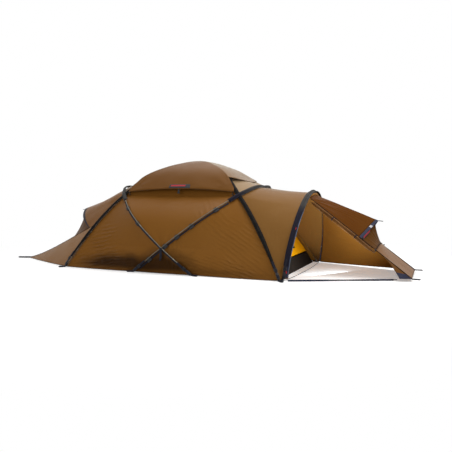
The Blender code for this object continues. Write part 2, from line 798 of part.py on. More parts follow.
class Vestibule:
    """Seams, hood and walls of one vestibule, built for +X and turned for the rear one."""

    def __init__(self, end, start, corner, hood_tip, hood_share, sill_share, hood_bow, sill_reach, sill_rise,
                 seam_sag=0.0):
        self.end = end
        self.start = np.asarray(start, dtype=float)
        self.corner = np.array([end * corner[0], -corner[1], corner[2]])
        self.hood_tip = np.array([end * hood_tip[0], hood_tip[1], hood_tip[2]])
        self.hood_share = hood_share
        self.sill_share = sill_share
        self.hood_bow = hood_bow
        self.sill_reach = sill_reach
        self.sill_rise = sill_rise
        self.seam_sag = seam_sag

    def seam(self, side, low=0.0, high=1.0):
        """Slanted seam from the pole down to the ground corner."""
        def curve(t):
            share = between(low, high)(t)[..., None]
            points = self.start + (self.corner - self.start) * share
            points[..., 2] -= self.seam_sag * SEAM_SAG_PEAK * (share ** 2 * (1 - share))[..., 0]
            return points if side == NEAR else mirror_y(points)
        return curve

    def hood_edge(self, t):
        """Edge of the hood from its near corner over the tip to its far corner."""
        t = np.asarray(t, dtype=float)
        near_corner = self.seam(NEAR)(self.hood_share)
        half = 1 - np.abs(2 * t - 1)
        base = near_corner + (self.hood_tip - near_corner) * half[..., None]
        bow = 4 * half * (1 - half) * self.hood_bow
        base[..., 0] += self.end * bow
        far = base * np.array([1.0, -1.0, 1.0])
        return np.where((t > 0.5)[..., None], far, base)

    def sill(self, t):
        """Top edge of the end wall, under the hood."""
        t = np.asarray(t, dtype=float)
        near_end = self.seam(NEAR)(self.sill_share)
        belly = 4 * t * (1 - t)
        return stack(near_end[0] + self.end * self.sill_reach * belly, near_end[1] * (1 - 2 * t),
                     near_end[2] + self.sill_rise * belly)

    def roof(self, pole_edge):
        """Roof from the pole to the hood's edge; pole_edge runs from near to far."""
        return patch(pole_edge, self.hood_edge, self.seam(NEAR, 0, self.hood_share),
                     self.seam(FAR, 0, self.hood_share))

    def end_wall(self):
        hem = line(self.corner, mirror_y(self.corner), END_HEM_LIFT)
        return patch(self.sill, hem, self.seam(NEAR, self.sill_share, 1), self.seam(FAR, self.sill_share, 1),
                     -END_WALL_SAG, (self.end, 0.0, SAG_FALL))

    def screen(self):
        """Vent cloth between the hood's underside and the sill."""
        near_low = self.seam(NEAR)(self.sill_share)
        near_high = self.seam(NEAR)(self.hood_share)
        slope = (self.hood_tip[2] - self.start[2]) / abs(self.hood_tip[0] - self.start[0])
        fall = slope * SCREEN_SETBACK * SCREEN_FOLLOW + SCREEN_DROP
        under_hood = np.array([-self.end * SCREEN_SETBACK, 0.0, -fall])
        over_sill = np.array([-self.end * SCREEN_SILL_GAP, 0.0, SCREEN_SILL_GAP])

        def narrowed(points, corner):
            return points * np.array([1.0, 1 - SCREEN_SIDE_GAP / abs(corner[1]), 1.0])

        def top(t):
            return narrowed(self.hood_edge(t) + under_hood, near_high)

        def bottom(t):
            return narrowed(self.sill(t) + over_sill, near_low)
        left = line(top(0.0), bottom(0.0))
        right = line(top(1.0), bottom(1.0))
        drape = SCREEN_DRAPE * abs(near_low[0] - self.hood_tip[0])
        return patch(top, bottom, left, right, -drape, (self.end, 0.0, 0.0))


def porch_start_angle():
    """Angle on the porch pole where the slanted seams of the porch start."""
    def beyond(angle):
        return PORCH_SEAM_Y - abs(float(porch_arch(angle)[1]))
    return find_root(beyond, 0.5, 1.5)


PORCH_START_ANGLE = porch_start_angle()


def make_vestibules():
    start = under_porch(porch_arch(PORCH_START_ANGLE, ZIP_FLAP))
    front = Vestibule(1, start, PORCH_CORNER, PORCH_HOOD_TIP, PORCH_HOOD_SHARE, PORCH_SILL_SHARE,
                      PORCH_HOOD_BOW, PORCH_SILL_REACH, PORCH_SILL_RISE)
    start = under_dome(diagonal_leg(-1, NEAR, REAR_SEAM_STEP))
    rear = Vestibule(-1, start, REAR_CORNER, REAR_HOOD_TIP, REAR_HOOD_SHARE, REAR_SILL_SHARE, REAR_HOOD_BOW,
                     REAR_SILL_REACH, REAR_SILL_RISE, REAR_SEAM_SAG)
    return front, rear


def band_share(surface, width):
    """Part of a roof's length that its edge band takes, measured a quarter of the way across."""
    return width / run_length(surface(np.full(20, 0.25), np.linspace(0, 1, 20)))


def add_hooded_roof(names, surface, width, cells, colours, outward):
    """A roof and the band along its hood's edge, which meet at a seam."""
    start = 1 - band_share(surface, width)
    roof_name, band_name = names
    across, down = cells
    roof = grid_points(surface, across, down, v_span=(0.0, start))
    cloth(roof_name, roof, colours["canopy"], outward=outward)
    band = grid_points(surface, across, 1, v_span=(start, 1.0))
    cloth(band_name, band, colours["webbing"], BAND_CLOTH, outward)


def porch_edge_over(t):
    """Porch roof's edge behind the pole, lower at the ridge than the tunnel's."""
    low, high = PORCH_START_ANGLE, math.pi - PORCH_START_ANGLE
    points = under_porch(porch_arch(between(low, high)(t), ZIP_FLAP))
    points[..., 2] -= PORCH_ROOF_DIP * 4 * t * (1 - t)
    return points


def rear_edge_over():
    """Edge of the rear roof: up the near diagonal, over the rear arch and down the far diagonal."""
    return joined(leg(-1, NEAR, REAR_SEAM_STEP, CROSS_STEP), over_the_top(-1),
                  leg(-1, FAR, CROSS_STEP, REAR_SEAM_STEP))


def add_front_porch(front, colours):
    canopy = colours["canopy"]
    outward = from_middle((1.9, 0.0, 0.1))
    names = ("porch_roof", "hood_band_front")
    add_hooded_roof(names, front.roof(porch_edge_over), PORCH_HOOD_BAND, (12, 7), colours, outward)
    cloth("porch_end_wall", grid_points(front.end_wall(), 6, 6), canopy, outward=outward)
    cloth("vent_screen_front", grid_points(front.screen(), 10, 4), canopy, outward=outward)

    def pole_edge(t):
        points = porch_arch(between(PORCH_START_ANGLE, PORCH_HEM_ANGLE)(t), ZIP_FLAP)
        return mirror_y(under_porch(points))
    foot = pole_edge(1.0)
    hem = line(foot, mirror_y(front.corner), DOOR_HEM_RISE)
    door = patch(shrunk(pole_edge, 0), hem, pole_edge, front.seam(FAR))
    points = grid_points(door, 6, 7, v_span=(WALL_START, 1.0), gap=DOOR_GAP)
    cloth("porch_door_far", points, canopy, outward=outward)

    strip_foot = front.corner + np.array(STRIP_FOOT)
    toggle = front.seam(NEAR)(front.sill_share)
    edge = line(toggle, strip_foot, STRIP_BOW)
    seam = front.seam(NEAR, front.sill_share, 1)
    strip = patch(shrunk(edge, 0), line(strip_foot, front.corner), edge, seam)
    cloth("porch_corner_strip", grid_points(strip, 3, 6, v_span=(WALL_START, 1.0)), canopy, outward=outward)


def add_rear_vestibule(rear, colours):
    canopy = colours["canopy"]
    outward = from_middle((-1.4, 0.0, 0.1))
    names = ("rear_roof", "hood_band_rear")
    add_hooded_roof(names, rear.roof(rear_edge_over()), REAR_HOOD_BAND, (16, 5), colours, outward)
    cloth("rear_end_wall", grid_points(rear.end_wall(), 8, 6), canopy, outward=outward)
    cloth("vent_screen_rear", grid_points(rear.screen(), 10, 4), canopy, outward=outward)
    for side, word in ((NEAR, "near"), (FAR, "far")):
        foot_leg = leg(-1, side, REAR_SEAM_STEP, HEM_STEP)
        corner = rear.corner if side == NEAR else mirror_y(rear.corner)
        hem = line(corner, foot_leg(1.0), 0.0, side * HEM_BOW)
        wall = patch(shrunk(foot_leg, 0), hem, rear.seam(side), foot_leg)
        cloth(f"rear_wall_{word}", grid_points(wall, 6, 6, v_span=(WALL_START, 1.0)), canopy, outward=outward)


# Roof cap

def cap_reach(share, long_side):
    """How far down the cap reaches; its long sides hang lower, clear of the legs beside them."""
    rise = np.clip(np.minimum(share, 1 - share) / CAP_FLAP_START, 0, 1)
    eased = rise * rise * (3 - 2 * rise)
    return CAP_END_STEP + np.where(long_side, (CAP_SIDE_STEP - CAP_END_STEP) * eased, 0.0)


def cap_surface(u, v):
    """Cap over the peak in polar form: u goes round from the rear near leg, v down to the edge."""
    legs = [(-1, NEAR), (1, NEAR), (1, FAR), (-1, FAR), (-1, NEAR)]
    sector = np.minimum((u * 4).astype(int), 3)
    share = u * 4 - sector
    long_side = sector % 2 == 0
    step = v * cap_reach(share, long_side)
    first = np.zeros(u.shape + (3,))
    second = np.zeros(u.shape + (3,))
    for k in range(4):
        here = sector == k
        first[here] = diagonal_leg(*legs[k], step[here])
        second[here] = diagonal_leg(*legs[k + 1], step[here])
    points = first + (second - first) * share[..., None]
    belly = 4 * share * (1 - share) * v ** 2
    bow = np.where(long_side, CAP_SIDE_BOW, CAP_END_BOW)
    points[..., 2] += CAP_RISE + CAP_EDGE_LIFT * v ** 3 + bow * belly
    return points


def add_roof_cap(colours):
    """Vent cap over the peak, one cloth that falls in four gores."""
    shares = np.array([0.0, 0.035, 0.07, 0.2, 0.35, 0.5, 0.65, 0.8, 0.93, 0.965])
    u = np.concatenate([(k + shares) / 4 for k in range(4)] + [[1.0]])
    grid_u, grid_v = np.meshgrid(u, np.linspace(0, 1, 6), indexing="ij")
    form = mapped_grid(cap_surface(grid_u, grid_v), from_middle((0.0, 0.0, 0.0)))
    bmesh.ops.remove_doubles(form, verts=form.verts, dist=0.00001)
    return thicken(place("roof_cap", keep_form("roof_cap", form), colours["canopy"]), CAP_CLOTH, 1.0)


# Inner tent

def inner_leg(end, side, low, high):
    """Run of a diagonal leg at the inner tent's distance below the pole."""
    return lambda t: under_dome(diagonal_leg(end, side, between(low, high)(t)), INNER_DROP)


def tub_step():
    """Step on a diagonal leg at which the inner tent's wall comes down to the tub's rim."""
    def below(step):
        return TUB_HEIGHT + RIM_GAP - float(under_dome(diagonal_leg(1, NEAR, step), INNER_DROP)[2])
    return find_root(below, 0.7, 0.98)


TUB_STEP = tub_step()


def tub_corner(end, side):
    """Corner of the tub's rim under a diagonal leg."""
    return inner_leg(end, side, 0, TUB_STEP)(1.0)


def tub_outline():
    """Corners of the tub going round, seen from above."""
    outline = []
    for side, ends in ((NEAR, (-1, 1)), (FAR, (1, -1))):
        foot = abs(under_dome(dome_arch(1, 0.0), INNER_DROP)[1])
        first = tub_corner(ends[0], side)
        last = tub_corner(ends[1], side)
        middle = [(ends[0] * ARCH_FOOT_X, side * foot), (ends[1] * ARCH_FOOT_X, side * foot)]
        outline += [tuple(first[:2]), *middle, tuple(last[:2])]
    return outline


def add_tub(colours):
    """Waterproof groundsheet with upright sides."""
    form = bmesh.new()
    corners = [form.verts.new((x * TUB_FLARE[0], y * TUB_FLARE[1], 0.0)) for x, y in tub_outline()]
    floor = form.faces.new(corners)
    floor.normal_update()
    if floor.normal.z > 0:
        floor.normal_flip()
    walls = bmesh.ops.extrude_edge_only(form, edges=form.edges[:])
    raised = [item for item in walls["geom"] if isinstance(item, bmesh.types.BMVert)]
    bmesh.ops.scale(form, vec=(1 / TUB_FLARE[0], 1 / TUB_FLARE[1], 1.0), verts=raised)
    bmesh.ops.translate(form, vec=(0.0, 0.0, TUB_HEIGHT), verts=raised)
    bmesh.ops.recalc_face_normals(form, faces=form.faces)
    if min(form.faces, key=lambda face: face.calc_center_median().z).normal.z > 0:
        bmesh.ops.reverse_faces(form, faces=form.faces)
    tub = place("inner_groundsheet_tub", keep_form("tub", form), colours["tub"])
    return thicken(tub, TUB_CLOTH)


def rim_line(points):
    """Rim of the tub through several corners, lifted just clear of the tub."""
    raised = [np.array([x, y, TUB_HEIGHT + RIM_GAP]) for x, y in points]
    return joined(*[line(a, b) for a, b in zip(raised[:-1], raised[1:])])


def rows_with(spans, count):
    """Grid places from 0 to 1 that include the ends of a span, with count cells before and after it."""
    low, high = spans
    return np.concatenate([np.linspace(0, low, count, endpoint=False), np.linspace(low, high, count + 2),
                           np.linspace(high, 1, count + 1)[1:]])


def add_inner_tent(colours):
    """Yellow inner walls and ceiling, and a zipped door at each end."""
    yellow = colours["inner"]
    outline = tub_outline()
    top = {(end, side): inner_leg(end, side, 0, CEILING_STEP)(1.0) for end in (-1, 1) for side in (NEAR, FAR)}
    for side, word in ((NEAR, "near"), (FAR, "far")):
        rim = outline[:4] if side == NEAR else outline[4:][::-1]
        wall = patch(line(top[(-1, side)], top[(1, side)], EAVE_CROWN), rim_line(rim),
                     inner_leg(-1, side, CEILING_STEP, TUB_STEP), inner_leg(1, side, CEILING_STEP, TUB_STEP),
                     SIDE_SAG, (0.0, -side, 0.0))
        cloth(f"inner_wall_{word}", grid_points(wall, 8, 7, gap=INNER_SEAM_GAP), yellow)
    ceiling = patch(line(top[(-1, NEAR)], top[(-1, FAR)], CEILING_CROWN),
                    line(top[(1, NEAR)], top[(1, FAR)], CEILING_CROWN),
                    line(top[(-1, NEAR)], top[(1, NEAR)], EAVE_CROWN),
                    line(top[(-1, FAR)], top[(1, FAR)], EAVE_CROWN), CEILING_CROWN, (0.0, 0.0, 1.0))
    cloth("inner_ceiling", grid_points(ceiling, 5, 5, gap=INNER_SEAM_GAP), yellow)
    doors = {}
    for end, word in ((1, "front"), (-1, "rear")):
        rim = [outline[3], outline[4]] if end == 1 else [outline[0], outline[7]]
        eave = line(top[(end, NEAR)], top[(end, FAR)], CEILING_CROWN)
        wall = patch(eave, rim_line(rim), inner_leg(end, NEAR, CEILING_STEP, TUB_STEP),
                     inner_leg(end, FAR, CEILING_STEP, TUB_STEP))
        across = rows_with(INNER_DOOR_SHARE, DOOR_EDGE_CELLS)
        down = rows_with(INNER_DOOR_RISE, DOOR_EDGE_CELLS)
        doorway = (DOOR_EDGE_CELLS, 2 * DOOR_EDGE_CELLS + 1)
        cloth(f"inner_wall_{word}", grid_points(wall, across, down, gap=INNER_SEAM_GAP), yellow,
              hole=(doorway, doorway))
        points = grid_points(wall, 5, 6, INNER_DOOR_SHARE, INNER_DOOR_RISE, gap=DOOR_GAP)
        doors[end] = points
        cloth(f"inner_door_{word}", points, yellow)
    return doors


# Feet, tension straps and clips

POLE_FEET = ("diagonal_rear", "arch_front", "arch_rear", "diagonal_front", "porch")


def around_axis(matrix, radius, along, sides=8):
    """Ring of points round the X axis of a matrix."""
    turns = (2 * math.pi * (k + 0.5) / sides for k in range(sides))
    return [matrix @ Vector((along, radius * math.cos(a), radius * math.sin(a))) for a in turns]


def foot_cup(name, matrix, material):
    """Cup that takes a pole's end: it opens along the matrix's X, from its closed bottom."""
    bore = POLE_RADIUS + CUP_FIT
    steps = ((CUP_RADIUS, 0.0), (CUP_RADIUS, CUP_LENGTH), (bore, CUP_LENGTH), (bore, CUP_WALL))
    return loft(name, [around_axis(matrix, radius, along) for radius, along in steps], material)


def webbing_loop(name, matrix, length, slot, wall, material):
    """Buckle: a flat sleeve along the matrix's X, open at both ends for a strap."""
    def outline(width, height, along):
        return [matrix @ Vector((along, sy * width / 2, sz * height / 2))
                for sy, sz in ((-1, -1), (1, -1), (1, 1), (-1, 1))]
    outer = (slot[0] + 2 * wall, slot[1] + 2 * wall)
    rings = [outline(*outer, -length / 2), outline(*outer, length / 2), outline(*slot, length / 2),
             outline(*slot, -length / 2)]
    return loft(name, rings, material, closed=True)


def add_feet(poles, colours):
    """Cups at both ends of every pole; the near ends have tension straps with sliding buckles.

    Each buckle starts just past its pole's first station, so that it slides along one straight run.
    """
    strap_middle = TENSION_STRAP_LIFT + WEBBING / 2
    slot = (WEBBING_WIDTH + 2 * BUCKLE_SLOT_GAP, WEBBING + 2 * BUCKLE_SLOT_GAP)
    half = WEBBING_WIDTH / 2
    top = TENSION_STRAP_LIFT + WEBBING
    for name in POLE_FEET:
        pole = poles[name]
        cup = foot_cup(f"foot_{name}_near", pole.matrix(CUP_START), colours["plastic"])
        strap = ribbon(f"tension_strap_{name}", pole, pole.cuts(TENSION_STRAP_START, TENSION_STRAP_END),
                       ((-half, top), (half, top)), colours["plastic"], WEBBING)
        fuse(cup, strap)
        point, along, outward = pole.at(pole.length - CUP_START)
        foot_cup(f"foot_{name}_far", frame_at(point, -along, outward), colours["plastic"])
        webbing_loop(f"tension_buckle_{name}", pole.matrix(pole.stations[1] + BUCKLE_STEP, strap_middle),
                     BUCKLE_LENGTH, slot, BUCKLE_WALL, colours["plastic"])


def clip_line(name, pole, colours):
    """Webbing under the near half of a dome arch, with the clips that hold the pole on it."""
    start = LINE_START
    end = pole.crossings["near"] - ARCH_SLEEVE_RUN - LINE_SLEEVE_GAP
    middles = CLIP_PLACES[name]
    drop = LINE_DROP[name]
    low = -drop - LINE_THICKNESS / 2
    thin = (WEBBING_WIDTH / 2, low, -drop + LINE_THICKNESS / 2)
    stops = []
    for d in middles:
        near, far = d - CLIP_LENGTH / 2, d + CLIP_LENGTH / 2
        lift = min(pole.lift_at(near), pole.lift_at(far))
        thick = (CLIP_WIDTH / 2, low, lift - POLE_RADIUS - CLIP_CLEARANCE)
        stops += [(near - CLIP_SLOPE, thin), (near, thick), (far, thick), (far + CLIP_SLOPE, thin)]
    for d in pole.cuts(start, end):
        if all(abs(d - middle) > CLIP_LENGTH / 2 + 3 * CLIP_SLOPE for middle in middles):
            stops.append((d, thin))
    rings = []
    for d, (half, bottom, top) in sorted(stops):
        point, along, outward = pole.at(d, on_skin=True)
        side = np.cross(outward, along)
        rings.append([point + side * s + outward * o
                      for s, o in ((-half, bottom), (half, bottom), (half, top), (-half, top))])
    loft(f"clip_line_{name}_near", rings, colours["webbing"])


def add_clip_lines(poles, colours):
    for name in LINE_DROP:
        clip_line(name, poles[name], colours)


# Straps, ties and small fittings

def add_hanging_straps(poles, colours):
    """Loose strap that hangs from the low crossing of the arches on each side."""
    width, thickness, length = HANGING_STRAP
    pole = poles["arch_rear"]
    reach = abs(float(pole.at(pole.crossings["low_near"])[0][1])) + POLE_RADIUS + HANGING_STRAP_GAP
    for side, word in ((NEAR, "near"), (FAR, "far")):
        centre = Vector((0.0, side * reach, LOW_HEIGHT - length / 2))
        block(f"hanging_strap_{word}", (width, thickness, length), Matrix.Translation(centre),
              colours["webbing"], 0.0)


def add_ground_strap(colours):
    """Webbing on the ground from the porch foot to the near corner, with a hook at its end."""
    start = Vector((GROUND_STRAP_START[0], -GROUND_STRAP_START[1], GROUND_STRAP_HEIGHT))
    end = Vector((GROUND_STRAP_END[0], -GROUND_STRAP_END[1], GROUND_STRAP_HEIGHT))
    matrix = frame_at(start, end - start, (0.0, 0.0, 1.0))
    run = (end - start).length
    strap = (GROUND_STRAP[1] / 2, GROUND_STRAP[0] / 2)
    hook = (HOOK[2] / 2, HOOK[1] / 2)
    stops = ((0.0, strap), (run, strap), (run + HOOK_NECK, hook), (run + HOOK[0], hook))
    rings = [[matrix @ Vector((along, sy * half_y, sz * half_z))
              for sy, sz in ((-1, -1), (1, -1), (1, 1), (-1, 1))] for along, (half_z, half_y) in stops]
    loft("ground_strap", rings, colours["webbing"])


def add_door_roll(front, colours):
    """The near porch door, rolled up under its slanted seam."""
    seam = front.seam(NEAR, ROLL_START, front.sill_share - ROLL_END_GAP)
    spots = seam(np.linspace(0, 1, 8)) + np.array(ROLL_OFFSET)
    tube("porch_door_roll_near", spots, ROLL_RADIUS, colours["canopy"], sides=3)


def add_sliders(doors, colours):
    """Zip sliders: one on the far porch door and one on the front inner door."""
    edge = porch_arch(np.array(OUTER_SLIDER_ANGLES), ZIP_FLAP)
    out = porch_normal(edge)
    spots = mirror_y(under_porch(edge) + out * (SLIDER_GAP + SLIDER[2] / 2))
    matrix = frame_at(spots[0], spots[1] - spots[0], mirror_y(out)[0])
    block("porch_zip_slider", SLIDER, matrix, colours["steel"], 0.001)
    low, high, beside = doors[1][0][-2], doors[1][0][-4], doors[1][1][-2]
    out = unit(np.cross(beside - low, high - low))
    out = out * np.sign(out[0])
    matrix = frame_at(low + out * (SLIDER_GAP + SLIDER[2] / 2), high - low, out)
    block("inner_zip_slider", SLIDER, matrix, colours["steel"], 0.001)


def make_colours():
    return {
        "canopy": finish("canopy", (0.20, 0.105, 0.03), 0.6),
        "inner": finish("inner", (0.80, 0.45, 0.02), 0.7),
        "tub": finish("tub", (0.012, 0.012, 0.013), 0.55),
        "black_sleeve": finish("black_sleeve", (0.03, 0.03, 0.032), 0.75),
        "grey_sleeve": finish("grey_sleeve", (0.16, 0.155, 0.155), 0.7),
        "pole": finish("pole", (0.23, 0.22, 0.19), 0.35, 1.0),
        "plastic": finish("plastic", (0.02, 0.02, 0.022), 0.45),
        "webbing": finish("webbing", (0.035, 0.038, 0.055), 0.7),
        "steel": finish("steel", (0.55, 0.55, 0.56), 0.3, 1.0),
    }


def main():
    clear_scene()
    new_collection(COLLECTION)
    colours = make_colours()
    poles = make_poles()
    for name, pole in poles.items():
        add_pole(f"pole_{name}", pole, colours["pole"])
    add_sleeves(poles, colours)
    add_dome_fly(colours)
    add_tunnel(colours)
    front, rear = make_vestibules()
    add_front_porch(front, colours)
    add_rear_vestibule(rear, colours)
    add_roof_cap(colours)
    add_tub(colours)
    doors = add_inner_tent(colours)
    add_feet(poles, colours)
    add_clip_lines(poles, colours)
    add_hanging_straps(poles, colours)
    add_ground_strap(colours)
    add_door_roll(front, colours)
    add_sliders(doors, colours)


main()
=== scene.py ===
"""Looks of the pitched expedition tent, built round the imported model.

Metres, +Z up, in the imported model's own frame: the origin is on the ground under the middle of
the dome, +X points to the front porch and -Y is the near side, with the door rolled up.
"""

import logging
import math
from dataclasses import dataclass, field
from enum import Enum
from functools import partial
from typing import Any, Callable, Iterable, Optional, Sequence, Union

import bmesh
import bpy
import numpy as np
from mathutils import Matrix, Vector


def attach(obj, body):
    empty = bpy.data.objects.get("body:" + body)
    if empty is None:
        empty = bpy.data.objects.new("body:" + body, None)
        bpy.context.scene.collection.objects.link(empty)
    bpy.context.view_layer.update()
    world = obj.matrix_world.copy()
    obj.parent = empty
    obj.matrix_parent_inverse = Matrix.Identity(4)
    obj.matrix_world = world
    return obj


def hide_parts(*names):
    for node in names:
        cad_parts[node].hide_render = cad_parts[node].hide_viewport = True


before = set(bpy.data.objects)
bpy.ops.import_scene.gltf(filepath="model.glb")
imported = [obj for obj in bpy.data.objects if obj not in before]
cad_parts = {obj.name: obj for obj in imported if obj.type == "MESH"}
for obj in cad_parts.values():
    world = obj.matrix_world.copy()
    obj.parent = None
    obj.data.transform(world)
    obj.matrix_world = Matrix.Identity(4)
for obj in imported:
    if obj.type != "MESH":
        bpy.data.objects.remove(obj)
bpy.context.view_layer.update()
LOG = logging.getLogger("expedition_tent")

Array = np.ndarray
Curve = Callable[[Array], Array]
Surface = Callable[[Array, Array], Array]
Triple = tuple[float, float, float]
Pair = tuple[float, float]

NEAR = -1
FAR = 1
REAR = -1
FRONT = 1
SIDES = ((NEAR, "near"), (FAR, "far"))
UP = (0.0, 0.0, 1.0)
INSIDE = (0.0, 0.0, 0.3)
ORIGIN = (0.0, 0.0, 0.0)
WHOLE = (0.0, 1.0)
INSET = (0.002, 0.998)
MEASURED = (0.0, 0.0)
BELOW = (0.0, 0.0, -0.5)
FLY_CLOTH = 0.0012
THIN_CLOTH = 0.0010


# Shader expressions


def operator(operation: str, reflected: bool = False) -> Callable[..., "Wire"]:
    """Method of a wire that adds one Math node.

    Args:
        operation: Operation of the node.
        reflected: Whether the other value comes first.

    Returns:
        The method.
    """
    def method(self: "Wire", *others: "Value") -> "Wire":
        """Result of the operation on this value and the other one, where there is one."""
        values = (*others, self) if reflected else (self, *others)
        return self.graph.node("ShaderNodeMath", {"operation": operation}, dict(enumerate(values)))
    return method


class Wire:
    """A shader socket that takes part in Python expressions."""

    __add__ = __radd__ = operator("ADD")
    __sub__ = operator("SUBTRACT")
    __rsub__ = operator("SUBTRACT", reflected=True)
    __mul__ = __rmul__ = operator("MULTIPLY")
    __truediv__ = operator("DIVIDE")
    __gt__ = operator("GREATER_THAN")
    __lt__ = operator("LESS_THAN")
    __abs__ = operator("ABSOLUTE")
    part = operator("FRACT")
    least = operator("MINIMUM")

    def __init__(self, graph: "ShaderGraph", socket: bpy.types.NodeSocket) -> None:
        """Keeps an output socket with the graph that new nodes are added to."""
        self.graph = graph
        self.socket = socket

    def eased(self, low: float, high: float) -> "Wire":
        """Smooth step from 0 at low to 1 at high."""
        return self.graph.node("ShaderNodeMapRange", {"interpolation_type": "SMOOTHSTEP"},
                               {"Value": self, "From Min": low, "From Max": high})


Value = Union[Wire, float, Sequence[float]]


class ShaderGraph:
    """Node tree of one material, with one method for any node."""

    def __init__(self, name: str) -> None:
        """Starts an empty material.

        Args:
            name: Material's name.
        """
        self.material = bpy.data.materials.new(name)
        self.material.use_nodes = True
        self.tree = self.material.node_tree
        self.tree.nodes.clear()

    def node(self, kind: str, settings: Optional[dict] = None, sockets: Optional[dict] = None,
             output: Union[int, str] = 0) -> Wire:
        """Adds a node.

        Args:
            kind: Node type.
            settings: Properties of the node.
            sockets: Values or wires by input name or number.
            output: Output that the result carries.

        Returns:
            A wire on the node's output.
        """
        made = self.tree.nodes.new(kind)
        for key, value in (settings or {}).items():
            setattr(made, key, value)
        for key, value in (sockets or {}).items():
            socket = made.inputs[key]
            if isinstance(value, Wire):
                self.tree.links.new(value.socket, socket)
            elif socket.type == "RGBA" and len(value) == 3:
                socket.default_value = (*value, 1.0)
            else:
                socket.default_value = value
        return Wire(self, made.outputs[output])

    def vector(self, operation: str, *values: Value, output: int = 0) -> Wire:
        """Adds one Vector Math node on these values."""
        return self.node("ShaderNodeVectorMath", {"operation": operation}, dict(enumerate(values)), output)

    def place(self) -> Wire:
        """Position on the piece, in metres."""
        return self.node("ShaderNodeTexCoord", output="Object")

    def coordinate(self, axis: str) -> Wire:
        """One coordinate of the position on the piece."""
        return self.node("ShaderNodeSeparateXYZ", sockets={0: self.place()}, output=axis)

    def cloth_place(self) -> list[Wire]:
        """Run across and down the cloth, in metres."""
        flat = self.node("ShaderNodeTexCoord", output="UV")
        return [self.node("ShaderNodeSeparateXYZ", sockets={0: flat}, output=axis) for axis in "XY"]

    def attribute(self, name: str) -> Wire:
        """Number stored on the mesh under a name."""
        return self.node("ShaderNodeAttribute", {"attribute_name": name}, output="Fac")

    def noise(self, scale: float, detail: float = 2.0, stretch: Optional[Triple] = None,
              roughness: float = 0.5) -> Wire:
        """Soft random value from 0 to 1.

        Args:
            scale: Features to a metre.
            detail: Number of finer layers.
            stretch: Scale along each axis, for streaks.
            roughness: Strength of the finer layers.

        Returns:
            The value.
        """
        place = self.place()
        if stretch:
            place = self.node("ShaderNodeMapping", sockets={"Vector": place, "Scale": stretch})
        sockets = {"Vector": place, "Scale": scale, "Detail": detail, "Roughness": roughness}
        return self.node("ShaderNodeTexNoise", sockets=sockets)

    def mix(self, factor: Value, first: Value, second: Value) -> Wire:
        """Colour between two colours, by the share of the second."""
        return self.node("ShaderNodeMix", {"data_type": "RGBA"}, {"Factor": factor, 6: first, 7: second}, 2)

    def oval(self, centre: Triple, reach: Triple) -> Wire:
        """Soft oval mask with an uneven edge, 1 at its centre and 0 past its reach.

        Args:
            centre: Middle of the oval.
            reach: Half size along each axis.

        Returns:
            The mask.
        """
        sway = self.noise(3.5, 4.0, (1.0, 1.0, 2.2)) - 0.5
        swayed = self.node("ShaderNodeCombineXYZ", sockets={0: 0.30 * sway, 2: 0.14 * sway})
        offset = self.vector("SUBTRACT", self.vector("ADD", self.place(), swayed), centre)
        return self.vector("LENGTH", self.vector("DIVIDE", offset, reach), output=1).eased(1.0, 0.35)

    def surface(self, colour: Value, roughness: Value, height: Optional[Wire] = None, relief: float = 0.001,
                **fixed: Value) -> bpy.types.Material:
        """Ends the graph in a Principled surface.

        Args:
            colour: Base colour.
            roughness: Roughness.
            height: Height for the bump, from 0 to 1.
            relief: Height in metres that 1 stands for.
            fixed: Constant sockets, with _ for a space.

        Returns:
            The finished material.
        """
        sockets: dict = {"Base Color": colour, "Roughness": roughness}
        sockets.update({key.replace("_", " "): value for key, value in fixed.items()})
        if height is not None:
            bump = {"Height": height, "Distance": relief, "Strength": 1.0}
            sockets["Normal"] = self.node("ShaderNodeBump", sockets=bump)
        shader = self.node("ShaderNodeBsdfPrincipled", sockets=sockets)
        self.node_output(shader)
        return self.material

    def node_output(self, shader: Wire) -> None:
        """Joins a shader to the material's output."""
        output = self.tree.nodes.new("ShaderNodeOutputMaterial")
        self.tree.links.new(shader.socket, output.inputs["Surface"])


# Finishes


@dataclass(frozen=True)
class Finish:
    """A named finish that is made into a material once."""

    name: str

    def make(self) -> bpy.types.Material:
        """Builds the material; each finish gives its own."""
        raise NotImplementedError

    def material(self) -> bpy.types.Material:
        """Material of this finish."""
        return bpy.data.materials.get(self.name) or self.make()


@dataclass(frozen=True)
class Shade:
    """Oval area of cloth that is darker than the rest."""

    centre: Triple
    reach: Triple
    strength: float


@dataclass(frozen=True)
class Crease:
    """Parallel fine creases in an oval stretch of cloth."""

    centre: Triple
    along: Triple
    across: Triple
    reach: Pair
    spacing: float
    height: float

    def wave(self, graph: ShaderGraph) -> Wire:
        """Height of the creases in millimetres.

        Args:
            graph: Graph of the cloth's material.

        Returns:
            The height, which fades out past the reach.
        """
        def run(axis: Triple) -> Wire:
            """Distance from the centre along an axis."""
            offset = sum(a * c for a, c in zip(axis, self.centre))
            return graph.vector("DOT_PRODUCT", graph.place(), axis, output=1) - offset
        t, s = run(self.along), run(self.across)
        sway = graph.noise(2.6, 3.0) * 1.6 + graph.noise(9.0, 2.0) * 0.5
        swing = graph.node("ShaderNodeMath", {"operation": "SINE"},
                           {0: 2 * math.pi * (s / self.spacing + sway)})
        ridge = graph.node("ShaderNodeMath", {"operation": "POWER"}, {0: 0.5 + 0.5 * swing, 1: 1.8})
        far = (t / self.reach[0]) * (t / self.reach[0]) + (s / self.reach[1]) * (s / self.reach[1])
        fade = 1.0 - far.eased(0.05, 1.0)
        patchy = graph.noise(5.0, 2.0).eased(0.30, 0.62)
        return ridge * fade * patchy * (self.height * 1000.0)


